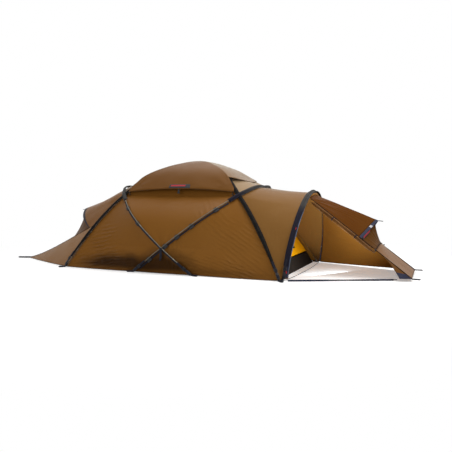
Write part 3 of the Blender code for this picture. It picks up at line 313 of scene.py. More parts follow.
@dataclass(frozen=True)
class CanopyCloth(Finish):
    """Coated ripstop cloth with sewn seams, stitching and fine creases."""

    colour: Triple = (0.178, 0.070, 0.0105)
    worn: Triple = (0.205, 0.086, 0.017)
    dark: Triple = (0.016, 0.0045, 0.0005)
    thread: Triple = (0.060, 0.028, 0.010)
    roughness: float = 0.42
    sheen: float = 0.35
    shine: float = 0.14
    rip_spacing: float = 0.0065
    seam_width: float = 0.013
    stitch_rows: tuple[float, ...] = (0.0028, 0.0105)
    stitch_pitch: float = 0.0045
    crease_relief: float = 0.0024
    crease_stretch: Triple = (1.0, 1.0, 2.6)
    shades: tuple[Shade, ...] = ()
    creases: tuple[Crease, ...] = ()
    hem_shade: float = 0.22
    # Colour of the painted sheen that lightens a front facet where light falls on it.
    pale: Triple = (0.42, 0.33, 0.22)
    front_painted_sheen: float = 0.0
    facet_slope: float = 1.47
    rip_edge: float = 0.43
    rip_tone: float = 0.16
    seam_tone: float = 0.22
    stitch_tone: float = 0.8
    stitch_half: float = 0.0006
    stitch_share: float = 0.62
    low_height: float = 0.24
    darkest_shade: float = 0.96
    hem_rise: Pair = (0.015, 0.075)

    def make(self) -> bpy.types.Material:
        """Builds the material.

        Returns:
            The finished material.
        """
        graph = ShaderGraph(self.name)
        across, down = graph.cloth_place()
        thread_u = abs((across / self.rip_spacing).part() - 0.5) > self.rip_edge
        thread_v = abs((down / self.rip_spacing).part() - 0.5) > self.rip_edge
        ripstop = (thread_u + thread_v).least(1.0)
        seam = graph.attribute("seam")
        on_seam = 1.0 - seam.eased(self.seam_width * 0.86, self.seam_width)
        dashes = ((across + down) / self.stitch_pitch).part() < self.stitch_share
        stitches: Value = 0.0
        for row in self.stitch_rows:
            stitches = (abs(seam - row) < self.stitch_half) * dashes + stitches
        patches = graph.noise(1.3, 3.0).eased(0.35, 0.75)
        streaks = graph.noise(9.0, 4.0, (1.0, 1.0, 0.35))
        colour = graph.mix(patches * 0.45 + streaks * 0.25, self.colour, self.worn)
        colour = graph.mix(ripstop * self.rip_tone, colour, self.dark)
        height = graph.coordinate("Z")
        # Painted sheen: the front facet, past the diagonal leg, is mixed toward the pale colour.
        if self.front_painted_sheen:
            facet = (graph.coordinate("X") - abs(graph.coordinate("Y")) * self.facet_slope).eased(0.0, 0.05)
            colour = graph.mix(facet * self.front_painted_sheen, colour, self.pale)
        low = (1.0 - height.eased(0.0, self.low_height)) * (0.35 + graph.noise(5.0, 3.0))
        colour = graph.mix(low * self.hem_shade, colour, self.dark)
        for shade in self.shades:
            uneven = 0.66 + 0.44 * graph.noise(4.0, 4.0, (1.0, 1.0, 3.4))
            mask = graph.oval(shade.centre, shade.reach) * uneven
            above_hem = 0.45 + 0.55 * height.eased(*self.hem_rise)
            share = (mask * shade.strength).least(self.darkest_shade) * above_hem
            colour = graph.mix(share, colour, self.dark)
        colour = graph.mix(on_seam * self.seam_tone, colour, self.dark)
        colour = graph.mix(stitches * self.stitch_tone, colour, self.thread)
        creases = graph.noise(7.0, 6.0, self.crease_stretch, 0.62)
        weave = graph.noise(420.0, 1.0)
        relief = creases + 0.05 * ripstop + 0.035 * weave + 0.35 * on_seam - 0.16 * stitches
        for crease in self.creases:
            relief = crease.wave(graph) * (0.001 / self.crease_relief) + relief
        rough = self.roughness - 0.06 * patches + 0.08 * on_seam + 0.05 * weave
        return graph.surface(colour, rough, relief, self.crease_relief, Specular_IOR_Level=self.shine,
                             Specular_Tint=(1.0, 0.60, 0.25, 1.0), Sheen_Weight=self.sheen,
                             Sheen_Roughness=0.20, Sheen_Tint=(1.0, 0.95, 0.82, 1.0))


@dataclass(frozen=True)
class PlainWeave(Finish):
    """Woven cloth or webbing with ribs along its run."""

    colour: Triple = (0.03, 0.03, 0.032)
    light: Triple = (0.07, 0.07, 0.075)
    roughness: float = 0.72
    rib: float = 0.0022
    relief: float = 0.0005
    end_colour: Optional[Triple] = None
    end_run: Pair = (0.2, 0.3)
    length: float = 1.0

    def make(self) -> bpy.types.Material:
        """Builds the material.

        Returns:
            The finished material.
        """
        graph = ShaderGraph(self.name)
        across, down = graph.cloth_place()
        ribs = abs((down / self.rib).part() - 0.5) * 2.0
        picks = abs((across / (self.rib * 1.6)).part() - 0.5) * 2.0
        wear = graph.noise(14.0, 4.0).eased(0.42, 0.8)
        colour: Value = graph.mix(wear * 0.6 + 0.15 * ribs, self.colour, self.light)
        if self.end_colour:
            to_end = across.least(self.length - across)
            colour = graph.mix(to_end.eased(*self.end_run), self.end_colour, colour)
        seam = graph.attribute("seam")
        stitches = (abs(seam - 0.003) < 0.0005) * ((across / 0.0045).part() < 0.62)
        colour = graph.mix(stitches * 0.6, colour, self.light)
        height = ribs * 0.5 + picks * 0.3 + graph.noise(60.0, 3.0) * 0.8 - stitches * 0.6
        return graph.surface(colour, self.roughness, height, self.relief, Specular_IOR_Level=0.10)


@dataclass(frozen=True)
class AnodisedTube(Finish):
    """Anodised aluminium with fine drawing lines and rubbed spots."""

    colour: Triple = (0.140, 0.128, 0.100)
    rubbed: Triple = (0.36, 0.33, 0.27)

    def make(self) -> bpy.types.Material:
        """Builds the material.

        Returns:
            The finished material.
        """
        graph = ShaderGraph(self.name)
        lines = graph.noise(220.0, 2.0, (1.0, 1.0, 0.1))
        rubs = graph.noise(24.0, 4.0).eased(0.55, 0.75)
        colour = graph.mix(rubs * 0.5, self.colour, self.rubbed)
        return graph.surface(colour, 0.26 + 0.12 * lines, lines, 0.00008, Metallic=1.0)


@dataclass(frozen=True)
class MouldedPlastic(Finish):
    """Moulded plastic with a fine grain and slightly scuffed edges."""

    colour: Triple = (0.018, 0.018, 0.020)
    scuffed: Triple = (0.055, 0.055, 0.060)
    roughness: float = 0.42

    def make(self) -> bpy.types.Material:
        """Builds the material.

        Returns:
            The finished material.
        """
        graph = ShaderGraph(self.name)
        grain = graph.noise(900.0, 2.0)
        scuffs = graph.noise(70.0, 4.0).eased(0.5, 0.75)
        colour = graph.mix(scuffs * 0.6, self.colour, self.scuffed)
        return graph.surface(colour, self.roughness + 0.12 * grain, grain, 0.00012, Specular_IOR_Level=0.2)


@dataclass(frozen=True)
class LabelWeave(Finish):
    """Dark woven patch with a plain bar across its middle."""

    ground: Triple = (0.012, 0.010, 0.012)
    bar: Triple = (0.45, 0.010, 0.018)
    size: Pair = (0.24, 0.04)

    def make(self) -> bpy.types.Material:
        """Builds the material.

        Returns:
            The finished material.
        """
        graph = ShaderGraph(self.name)
        across, down = graph.cloth_place()
        width, height = self.size
        inside = (abs(down / height - 0.5) < 0.26) * (abs(across / width - 0.5) < 0.42)
        threads = abs((across / 0.0011).part() - 0.5) * 2.0
        colour = graph.mix(inside * (0.75 + 0.25 * threads), self.ground, self.bar)
        return graph.surface(colour, 0.7, threads + 0.6 * inside, 0.0002)


@dataclass(frozen=True)
class StudioFloor(Finish):
    """Pale matte floor that shows white to the camera and keeps the tent's shadow."""

    colour: Triple = (0.88, 0.88, 0.88)
    lift: float = 0.30
    white_from: Pair = (2.9, 4.6)

    def make(self) -> bpy.types.Material:
        """Builds the material.

        Returns:
            The finished material.
        """
        graph = ShaderGraph(self.name)
        grain = graph.noise(40.0, 3.0)
        colour = graph.mix(grain * 0.04, self.colour, (0.80, 0.80, 0.80))
        shader = graph.node("ShaderNodeBsdfPrincipled", sockets={"Base Color": colour, "Roughness": 0.9})
        glow = graph.node("ShaderNodeEmission", sockets={"Color": (1.0, 1.0, 1.0), "Strength": self.lift})
        lit = graph.node("ShaderNodeAddShader", sockets={0: shader, 1: glow})
        white = graph.node("ShaderNodeEmission", sockets={"Color": (1.0, 1.0, 1.0), "Strength": 1.0})
        edge = graph.vector("LENGTH", graph.place(), output=1).eased(*self.white_from)
        shown = graph.node("ShaderNodeMixShader", sockets={0: edge, 1: lit, 2: white})
        seen = graph.node("ShaderNodeLightPath", output="Is Camera Ray")
        graph.node_output(graph.node("ShaderNodeMixShader", sockets={0: seen, 1: shader, 2: shown}))
        return graph.material


class Finishes:
    """Every finish of the tent, by what it is on."""

    side = CanopyCloth("canopy_side", creases=(
        Crease((-1.00, -0.9, 0.30), (0.97, 0.0, 0.22), (-0.22, 0.0, 0.97), (0.42, 0.34), 0.050, 0.0090),
        Crease((-0.80, -0.9, 0.10), (0.99, 0.0, 0.10), (-0.10, 0.0, 0.99), (0.50, 0.16), 0.036, 0.0080),
        Crease((0.98, -0.9, 0.34), (0.86, 0.0, -0.51), (0.51, 0.0, 0.86), (0.50, 0.36), 0.044, 0.0042),
        Crease((0.80, -0.9, 0.08), (0.96, 0.0, -0.26), (0.26, 0.0, 0.96), (0.65, 0.15), 0.034, 0.0065),
        Crease((0.14, -0.9, 0.28), (0.03, 0.0, 1.0), (1.0, 0.0, -0.03), (0.40, 0.16), 0.055, 0.0040),
        Crease((0.55, -0.9, 0.66), (0.75, 0.0, -0.66), (0.66, 0.0, 0.75), (0.45, 0.16), 0.060, 0.0035)),
        shades=(
            Shade((-0.62, -0.93, 0.00), (0.78, 0.6, 0.28), 1.25),
            Shade((0.02, -0.93, 0.02), (0.48, 0.6, 0.36), 1.15),
            Shade((0.75, -0.93, 0.00), (0.70, 0.6, 0.13), 0.55),
            Shade((-0.30, 0.93, 0.00), (0.95, 0.6, 0.26), 0.90)))
    # The front roof panel's cloth is coloured lighter and greyer than the rest of the fly: painted sheen
    # where light falls on it.
    canopy = CanopyCloth("canopy_roof", colour=(0.270, 0.180, 0.098), worn=(0.295, 0.202, 0.115),
                         hem_shade=0.0, sheen=0.95, shine=0.30)
    # The tunnel's cloth is coloured a little lighter and yellower than the sides: painted light.
    tunnel = CanopyCloth("canopy_tunnel", colour=(0.172, 0.078, 0.0180), worn=(0.200, 0.096, 0.0260),
                         sheen=0.70, shine=0.20, hem_shade=0.10)
    porch = CanopyCloth("canopy_porch", sheen=0.12, shine=0.07, hem_shade=0.05,
                        crease_stretch=(1.0, 2.0, 1.0))
    # The porch roof's cloth is coloured darker than the rest of the fly: painted shade.
    hood = CanopyCloth("canopy_hood", colour=(0.098, 0.030, 0.0030), worn=(0.118, 0.042, 0.006), sheen=0.0,
                       shine=0.02, hem_shade=0.0, crease_stretch=(0.4, 2.6, 1.0), crease_relief=0.0030)
    rear_roof = CanopyCloth("canopy_rear_roof", sheen=0.03, shine=0.03, hem_shade=0.0)
    # The rear side walls' cloth is coloured lighter than the rest of the fly: painted sheen where light falls
    # on them.
    rear = CanopyCloth("canopy_rear", colour=(0.225, 0.102, 0.028), worn=(0.250, 0.120, 0.038),
                       hem_shade=0.05, sheen=0.95)
    # The cap's cloth is coloured darker than the fly's as painted shade, with a painted sheen on its front
    # facet.
    cap = CanopyCloth("canopy_cap", colour=(0.122, 0.047, 0.0085), worn=(0.146, 0.060, 0.0130), sheen=1.0,
                      shine=0.26, front_painted_sheen=0.22, crease_stretch=(1.0, 1.0, 1.0), crease_relief=0.0016)
    # The rolled door and corner strip are coloured darker than the fly's cloth: painted shade.
    roll = CanopyCloth("canopy_roll", colour=(0.120, 0.046, 0.012), worn=(0.19, 0.09, 0.03),
                       crease_relief=0.004)
    screen = CanopyCloth("vent_cloth", colour=(0.085, 0.033, 0.006), worn=(0.12, 0.05, 0.012), sheen=0.05,
                         shine=0.02)
    inner = CanopyCloth("inner_cloth", colour=(0.80, 0.330, 0.002), worn=(0.82, 0.36, 0.004), sheen=0.0,
                        dark=(0.20, 0.07, 0.002), thread=(0.20, 0.08, 0.005), roughness=0.6,
                        rip_spacing=0.005, hem_shade=0.0, crease_relief=0.0018)
    tub = CanopyCloth("tub_cloth", colour=(0.010, 0.009, 0.008), worn=(0.017, 0.015, 0.013),
                      dark=(0.004, 0.004, 0.004), thread=(0.03, 0.03, 0.03), roughness=0.6, sheen=0.0,
                      hem_shade=0.0)
    black_sleeve = PlainWeave("black_sleeve_cloth", colour=(0.0045, 0.0040, 0.0038),
                              light=(0.015, 0.013, 0.011), relief=0.0008)
    webbing = PlainWeave("narrow_webbing", colour=(0.010, 0.010, 0.016), light=(0.032, 0.033, 0.048),
                         roughness=0.65)
    slate = PlainWeave("slate_webbing", colour=(0.026, 0.028, 0.050), light=(0.065, 0.070, 0.110),
                       roughness=0.6)
    piping = PlainWeave("pale_blue_piping", colour=(0.085, 0.115, 0.175), light=(0.17, 0.21, 0.28),
                        roughness=0.6)
    zip_tape = PlainWeave("zip_tape", colour=(0.016, 0.012, 0.010), light=(0.05, 0.04, 0.035), rib=0.0016)
    binding = PlainWeave("edge_binding", colour=(0.030, 0.013, 0.005), light=(0.060, 0.028, 0.012))
    tag = PlainWeave("pale_tag", colour=(0.45, 0.45, 0.47), light=(0.65, 0.65, 0.66), roughness=0.6)
    red = PlainWeave("red_tab", colour=(0.55, 0.012, 0.010), light=(0.65, 0.05, 0.04), roughness=0.55)
    tube = AnodisedTube("anodised_tube")
    steel = AnodisedTube("slider_metal", colour=(0.50, 0.50, 0.51), rubbed=(0.75, 0.75, 0.76))
    plastic = MouldedPlastic("black_plastic")
    label = LabelWeave("woven_label")
    floor = StudioFloor("studio_floor")


# Numbers and curves


def smooth(stations: Sequence[float], t: Array) -> Array:
    """Reads a smooth curve through equally spaced stations.

    Args:
        stations: Values at the stations.
        t: Places from 0 to 1.

    Returns:
        Values at those places.
    """
    count = len(stations) - 1
    padded = np.array([stations[0], *stations, stations[-1]], dtype=float)
    place = np.clip(np.asarray(t, dtype=float), 0.0, 1.0) * count
    i = np.minimum(place.astype(int), count - 1)
    f = place - i
    p0, p1, p2, p3 = (padded[i + k] for k in range(4))
    return p1 + 0.5 * f * (p2 - p0 + f * (2 * p0 - 5 * p1 + 4 * p2 - p3 + f * (3 * (p1 - p2) + p3 - p0)))


def unit(vectors: Array) -> Array:
    """Vectors scaled to length 1."""
    return vectors / np.linalg.norm(vectors, axis=-1, keepdims=True)


def find_root(function: Callable[[float], float], low: float, high: float) -> float:
    """Root of a rising function, by halving.

    Args:
        function: Function that rises through zero.
        low: Place below the root.
        high: Place above it.

    Returns:
        The root.
    """
    for _ in range(60):
        middle = (low + high) / 2
        if function(middle) > 0:
            high = middle
        else:
            low = middle
    return (low + high) / 2


def stack(x: Array, y: Array, z: Array) -> Array:
    """Points from their three coordinates."""
    return np.stack(np.broadcast_arrays(x, y, z), axis=-1).astype(float)


def vec(x: float, y: float, z: float) -> Array:
    """One point or direction."""
    return np.array([x, y, z], dtype=float)


def mirror_y(points: Array) -> Array:
    """Points mirrored to the tent's other side."""
    return points * vec(1.0, -1.0, 1.0)


def between(low: float, high: float, t: Array) -> Array:
    """Numbers from low to high for 0 to 1."""
    return low + (high - low) * np.asarray(t, dtype=float)


def straight(start: Array, end: Array, bow: Triple = (0.0, 0.0, 0.0)) -> Curve:
    """Straight edge that is bowed at its middle.

    Args:
        start: First point.
        end: Last point.
        bow: Shift of the middle.

    Returns:
        The edge as a curve from 0 to 1.
    """
    def curve(t: Array) -> Array:
        """Point at a share of the straight edge."""
        t = np.asarray(t, dtype=float)[..., None]
        return start + (end - start) * t + 4 * t * (1 - t) * np.array(bow)
    return curve


def chained(*curves: Curve, samples: int = 80) -> Curve:
    """One curve that follows several in turn at an even pace.

    Args:
        curves: Curves that each start where the last one ends.
        samples: Points read from each.

    Returns:
        The joined curve.
    """
    points = np.concatenate([curve(np.linspace(0, 1, samples)) for curve in curves])
    along = np.concatenate([[0.0], np.cumsum(np.linalg.norm(np.diff(points, axis=0), axis=1) + 1e-9)])
    along /= along[-1]

    def curve(t: Array) -> Array:
        """Point at a share of the drawn edge."""
        return np.stack([np.interp(t, along, points[:, k]) for k in range(3)], axis=-1)
    return curve


def in_turn(first: Curve, second: Curve) -> Curve:
    """Edge that follows one curve for its first half and another for its second.

    Args:
        first: Curve of the first half.
        second: Curve of the second half.

    Returns:
        The edge.
    """
    def curve(t: Array) -> Array:
        """Point on the first curve, then on the second."""
        t = np.asarray(t, dtype=float)
        early = first(np.minimum(2 * t, 1.0))
        late = second(np.maximum(2 * t - 1, 0.0))
        return np.where((t < 0.5)[..., None], early, late)
    return curve


def shrunk(curve: Curve, at: float) -> Curve:
    """Patch edge that has shrunk to one point of a curve."""
    point = curve(np.array(at, dtype=float))
    return lambda t: np.broadcast_to(point, np.shape(t) + (3,))


def stretched(top: Curve, bottom: Curve, left: Curve, right: Curve, sag: float = 0.0,
              sag_axis: Triple = (0.0, 1.0, 0.0), power: int = 1) -> Surface:
    """Cloth stretched between four edges.

    Args:
        top: Edge at v = 0, along u.
        bottom: Edge at v = 1, along u.
        left: Edge at u = 0, along v.
        right: Edge at u = 1, along v.
        sag: Depth of the belly.
        sag_axis: Direction of the belly.
        power: How close to its edge the bow of the top and bottom stays.

    Returns:
        The surface.
    """
    axis = np.asarray(sag_axis, dtype=float)

    def bow(edge: Curve, u: Array) -> Array:
        """Edge's distance from the straight line between its ends."""
        return edge(u) - (1 - u[..., None]) * edge(0 * u) - u[..., None] * edge(0 * u + 1)

    def surface(u: Array, v: Array) -> Array:
        """Point between the four edges."""
        uu, vv = u[..., None], v[..., None]
        sides = (1 - uu) * left(v) + uu * right(v)
        ends = (1 - vv) ** power * bow(top, u) + vv ** power * bow(bottom, u)
        return sides + ends + 16 * uu * (1 - uu) * vv * (1 - vv) * sag * axis
    return surface


def proud(surface: Surface, lift: float, middle: Triple = (0.0, 0.0, 0.3)) -> Surface:
    """Surface moved outward from another one.

    Args:
        surface: Surface that carries it.
        lift: Distance.
        middle: Point that outward points away from.

    Returns:
        The moved surface.
    """
    step = 1e-3

    def moved(u: Array, v: Array) -> Array:
        """Point of the sheet, moved outwards."""
        points = surface(u, v)
        du = surface(np.minimum(u + step, 1.0), v) - surface(np.maximum(u - step, 0.0), v)
        dv = surface(u, np.minimum(v + step, 1.0)) - surface(u, np.maximum(v - step, 0.0))
        normal = unit(np.cross(du, dv) + 1e-12)
        facing = np.sign((normal * (points - np.array(middle))).sum(axis=-1, keepdims=True))
        return points + normal * facing * lift
    return moved


def window(surface: Surface, u_span: Pair, v_span: Pair) -> Surface:
    """Part of a surface, read as 0 to 1 again."""
    return lambda u, v: surface(between(*u_span, u), between(*v_span, v))


# Poles and the form of the tent


@dataclass
class PoleLine:
    """Axis of one bent pole from its near foot to its far foot."""

    centre: Array
    normals: Array
    crossings: dict[str, tuple[int, float]]
    crossing_reach: float = 0.09
    along: Array = field(init=False)
    axis: Array = field(init=False)
    length: float = field(init=False)
    marks: dict[str, float] = field(init=False)

    def __post_init__(self) -> None:
        """Works out the runs and lifts the axis where poles cross."""
        steps = np.linalg.norm(np.diff(self.centre, axis=0), axis=1)
        self.along = np.concatenate([[0.0], np.cumsum(steps)])
        self.length = float(self.along[-1])
        self.marks = {label: float(self.along[index]) for label, (index, _) in self.crossings.items()}
        lift = np.zeros(len(self.centre))
        for index, amount in self.crossings.values():
            lift += amount * np.exp(-((self.along - self.along[index]) / self.crossing_reach) ** 2)
        self.axis = self.centre + lift[:, None] * self.normals

    def read(self, distance: Array, on_skin: bool = False) -> tuple[Array, Array, Array]:
        """Reads the pole at distances from its near end.

        Args:
            distance: Distances along the pole.
            on_skin: Whether to leave out the lift at crossings.

        Returns:
            Points, directions along the pole and outward directions.
        """
        line = self.centre if on_skin else self.axis

        def at(values: Array, where: Array) -> Array:
            """Values along the pole, read at a distance."""
            return np.stack([np.interp(where, self.along, values[:, k]) for k in range(3)], axis=-1)
        run = unit(at(line, distance + 0.012) - at(line, distance - 0.012))
        out = at(self.normals, distance)
        out = unit(out - run * (out * run).sum(axis=-1, keepdims=True))
        return at(line, distance), run, out

    def strip(self, start: float, end: float, profile: Callable[[Array], tuple[Array, Array]],
              on_skin: bool = False) -> Surface:
        """Surface that carries a cross-section along the pole.

        Args:
            start: Distance of its first end.
            end: Distance of its last end.
            profile: Side and outward offset at v.
            on_skin: Whether to leave out the lift at crossings.

        Returns:
            Surface with u along the pole and v across it.
        """
        def surface(u: Array, v: Array) -> Array:
            """Point of the profile beside the pole."""
            point, run, out = self.read(between(start, end, u), on_skin)
            side = np.cross(out, run)
            across, lift = profile(v)
            return point + side * across[..., None] + out * lift[..., None]
        return surface

    def matrix(self, distance: float, lift: float = 0.0) -> Matrix:
        """Frame whose X runs along the pole and whose Z faces outward."""
        point, run, out = self.read(np.array(distance))
        return frame_at(point + out * lift, run, out)


def frame_at(point: Array, along: Array, outward: Array) -> Matrix:
    """Matrix at a point.

    Args:
        point: Origin.
        along: Direction of X.
        outward: Rough direction of Z.

    Returns:
        The matrix.
    """
    x = Vector(along).normalized()
    z = Vector(outward)
    z = (z - x * z.dot(x)).normalized()
    turn = Matrix((x, z.cross(x), z)).transposed().to_4x4()
    return Matrix.Translation(Vector(point)) @ turn


@dataclass
class TentForm:
    """Pole curves of the pitched tent, which every cloth is cut to."""

    peak_height: float = 1.35
    peak_shift: float = 0.045
    peak_shift_end: float = 0.55
    diagonal_foot: Pair = (1.418, 0.937)
    arch_foot: Pair = (0.398, 0.959)
    arch_top: float = 1.030
    porch_foot: Pair = (1.441, 0.855)
    porch_top: float = 0.978
    porch_lean: float = 0.12
    zip_flap: float = 0.030
    cloth_drop: float = 0.0205
    crossing_lift: float = 0.0062
    diagonal_fullness: tuple[float, ...] = (0.0, -0.004, 0.010, -0.006, 0.005, 0.020)
    arch_fullness: tuple[float, ...] = (0.0, 0.060, 0.090, 0.055, 0.040, 0.0)
    porch_fullness: tuple[float, ...] = (0.0, 0.006, -0.012, -0.020, -0.005, 0.0)
    hem_height: float = 0.006
    cross_angle: float = field(init=False)
    cross_step: float = field(init=False)
    arch_lean: float = field(init=False)
    low_height: float = field(init=False)
    low_angle: float = field(init=False)

    def __post_init__(self) -> None:
        """Finds where the poles cross."""
        def above(angle: float) -> float:
            """Height of the diagonal over the arch at an angle."""
            y, z = self.arch_section(angle)
            step = min(abs(float(y)) / self.diagonal_foot[1], 1.0)
            return float(self.diagonal_height(step)) - float(z)
        self.cross_angle = find_root(above, 0.7, 1.4)
        y, _ = self.arch_section(self.cross_angle)
        self.cross_step = abs(float(y)) / self.diagonal_foot[1]
        height = float(self.diagonal_height(self.cross_step))
        self.arch_lean = (self.arch_foot[0] + self.diagonal_foot[0] * self.cross_step) / height
        self.low_height = self.arch_foot[0] / self.arch_lean
        self.low_angle = find_root(
            lambda a: float(self.arch_section(a)[1]) - self.low_height, 0.05, 0.8)

    def arch_section(self, angle: Array) -> tuple[Array, Array]:
        """Cross-section of the dome's arches."""
        return self.section(angle, self.arch_foot[1], self.arch_top, self.arch_fullness)

    def diagonal_height(self, step: Array) -> Array:
        """Height of a diagonal pole, from the peak (0) to its foot (1)."""
        return self.peak_height * (1 - step ** 2) * (1 + smooth(self.diagonal_fullness, step))

    @staticmethod
    def section(angle: Array, foot: float, top: float, fullness: Sequence[float]) -> tuple[Array, Array]:
        """Cross-section of an arch.

        Args:
            angle: From its foot (0) over the top (pi).
            foot: Half its width.
            top: Its height.
            fullness: Shares by which it stands out from an ellipse.

        Returns:
            Distances from the middle and heights.
        """
        angle = np.asarray(angle, dtype=float)
        rise = np.minimum(angle, math.pi - angle) / (math.pi / 2)
        radius = (foot * np.cos(angle) ** 2 + top * np.sin(angle) ** 2) * (1 + smooth(fullness, rise))
        return -radius * np.cos(angle), radius * np.sin(angle)

    def diagonal_leg(self, end: float, side: float, step: Array) -> Array:
        """Points on the leg at one end and side, from the peak (0) to the foot (1).

        Args:
            end: FRONT or REAR.
            side: NEAR or FAR.
            step: Steps from peak to foot.

        Returns:
            The points.
        """
        step = np.asarray(step, dtype=float)
        shift = self.peak_shift * np.clip(1 - (step / self.peak_shift_end) ** 2, 0, 1) ** 2
        return stack(shift + end * self.diagonal_foot[0] * step, side * self.diagonal_foot[1] * step,
                     self.diagonal_height(step))

    def dome_arch(self, end: float, angle: Array) -> Array:
        """Points on the arch whose top leans to one end."""
        y, z = self.arch_section(angle)
        return stack(end * (self.arch_lean * z - self.arch_foot[0]), y, z)

    def porch_arch(self, angle: Array, forward: float = 0.0) -> Array:
        """Points on the porch pole, or on a line a little in front of it."""
        y, z = self.section(angle, self.porch_foot[1], self.porch_top, self.porch_fullness)
        return stack(self.porch_foot[0] + self.porch_lean * z + forward, y, z)

    def dome_normal(self, points: Array) -> Array:
        """Outward directions of the dome."""
        reach = np.array([self.diagonal_foot[0] * 1.25, self.arch_foot[1] * 1.15, self.peak_height])
        return unit(points / reach ** 2)

    def porch_normal(self, points: Array) -> Array:
        """Outward directions of the porch arch."""
        flat = points * vec(0.0, 1.0, 1.0)
        return unit(flat / np.array([1.0, self.porch_foot[1], self.porch_top]) ** 2)

    def under_dome(self, points: Array, drop: Optional[float] = None) -> Array:
        """Points of cloth that hangs below the dome's poles."""
        return points - (self.cloth_drop if drop is None else drop) * self.dome_normal(points)

    def under_porch(self, points: Array, drop: Union[float, Array, None] = None) -> Array:
        """Points of cloth that hangs below the porch pole."""
        return points - (self.cloth_drop if drop is None else drop) * self.porch_normal(points)

    def step_at(self, height: float) -> float:
        """Step on a diagonal at which its cloth is at a height."""
        return find_root(lambda s: height - float(self.under_dome(self.diagonal_leg(1, NEAR, s))[2]), 0.0,
                         1.0)

    def leg(self, end: float, side: float, low: float, high: float, drop: Optional[float] = None) -> Curve:
        """Run of cloth along a diagonal leg."""
        return lambda t: self.under_dome(self.diagonal_leg(end, side, between(low, high, t)), drop)

    def arch_run(self, end: float, side: float, low: float, high: float) -> Curve:
        """Run of cloth along an arch on one side, with angles from that side's foot.

        Args:
            end: FRONT or REAR.
            side: NEAR or FAR.
            low: Angle at the start.
            high: Angle at the end.

        Returns:
            The run.
        """
        def curve(t: Array) -> Array:
            """Point of the run at a share of its angles."""
            points = self.under_dome(self.dome_arch(end, between(low, high, t)))
            return points if side == NEAR else mirror_y(points)
        return curve

    def over_the_top(self, end: float) -> Curve:
        """Roof edge along an arch between its crossings with the diagonals."""
        return lambda t: self.under_dome(
            self.dome_arch(end, between(self.cross_angle, math.pi - self.cross_angle, t)))

    def poles(self) -> dict[str, PoleLine]:
        """The five poles by name.

        Returns:
            The pole lines.
        """
        def nearest(points: Array, target: Array) -> int:
            """Index of the point nearest to the target."""
            return int(np.linalg.norm(points - target, axis=1).argmin())
        walk = np.linspace(-1, 1, 401)
        angles = np.linspace(0, math.pi, 401)
        lift = self.crossing_lift
        found = {}
        for name, lean, over in (("diagonal_rear", 1, -1), ("diagonal_front", -1, 1)):
            points = np.stack([self.diagonal_leg(lean * np.sign(s), np.sign(s), abs(s)) if s else
                               self.diagonal_leg(1, NEAR, 0.0) for s in walk])
            start = self.diagonal_leg(-lean, NEAR, self.cross_step)
            end = start * vec(-1.0, -1.0, 1.0)
            found[name] = PoleLine(points, self.dome_normal(points), {
                "near": (nearest(points, start), -lift), "peak": (200, over * lift),
                "far": (nearest(points, end), -lift)})
        low_near = self.dome_arch(-1, self.low_angle)
        for name, end, low_lift in (("arch_rear", -1, 1), ("arch_front", 1, -1)):
            points = self.dome_arch(end, angles)
            start = self.diagonal_leg(end, NEAR, self.cross_step)
            found[name] = PoleLine(points, self.dome_normal(points), {
                "low_near": (nearest(points, low_near), low_lift * lift),
                "near": (nearest(points, start), lift), "far": (nearest(points, mirror_y(start)), lift),
                "low_far": (nearest(points, mirror_y(low_near)), low_lift * lift)})
        points = self.porch_arch(angles)
        found["porch"] = PoleLine(points, self.porch_normal(points), {})
        return found


# Relief of cloth


@dataclass(frozen=True)
class Folds:
    """Parallel shallow folds in an oval stretch of cloth."""

    centre: Triple
    along: Triple
    reach: Pair
    spacing: float
    height: float
    face: Triple = (0.0, -1.0, 0.0)

    def lift(self, points: Array) -> Array:
        """Height of the folds at points.

        Args:
            points: Points of the sheet.

        Returns:
            Height at each point.
        """
        run = unit(np.array(self.along))
        across = unit(np.cross(run, np.array(self.face)))
        t = (points - np.array(self.centre)) @ run
        s = (points - np.array(self.centre)) @ across
        sway = 0.30 * np.sin(t * 5.1 / self.reach[0] + 0.7) + 0.22 * np.sin(s * 17.0 + t * 9.0)
        ridge = (0.5 + 0.5 * np.sin(2 * math.pi * (s / self.spacing + sway))) ** 1.7 - 0.4
        fade = 0.6 + 0.4 * np.sin(s * 31.0 / self.reach[1] * 0.2 + 2.1 * t / self.reach[0])
        return self.height * ridge * fade * np.exp(-(t / self.reach[0]) ** 2 - (s / self.reach[1]) ** 2)


@dataclass(frozen=True)
class Rays:
    """Creases that fan out from a point that is pulled."""

    apex: Triple
    count: float
    reach: float
    height: float
    face: Triple = (0.0, -1.0, 0.0)
    turn: float = 0.0

    def lift(self, points: Array) -> Array:
        """Height of the creases at points.

        Args:
            points: Points of the sheet.

        Returns:
            Height at each point.
        """
        face = unit(np.array(self.face))
        first = unit(np.cross(face, vec(0.0, 0.0, 1.0) + 0.01))
        second = np.cross(face, first)
        away = points - np.array(self.apex)
        r = np.linalg.norm(away, axis=-1)
        angle = np.arctan2(away @ second, away @ first)
        wave = np.cos(self.count * angle + self.turn + 1.5 * np.sin(2 * angle))
        return self.height * wave * np.exp(-(r / self.reach) ** 2) * r / (r + 0.12 * self.reach)


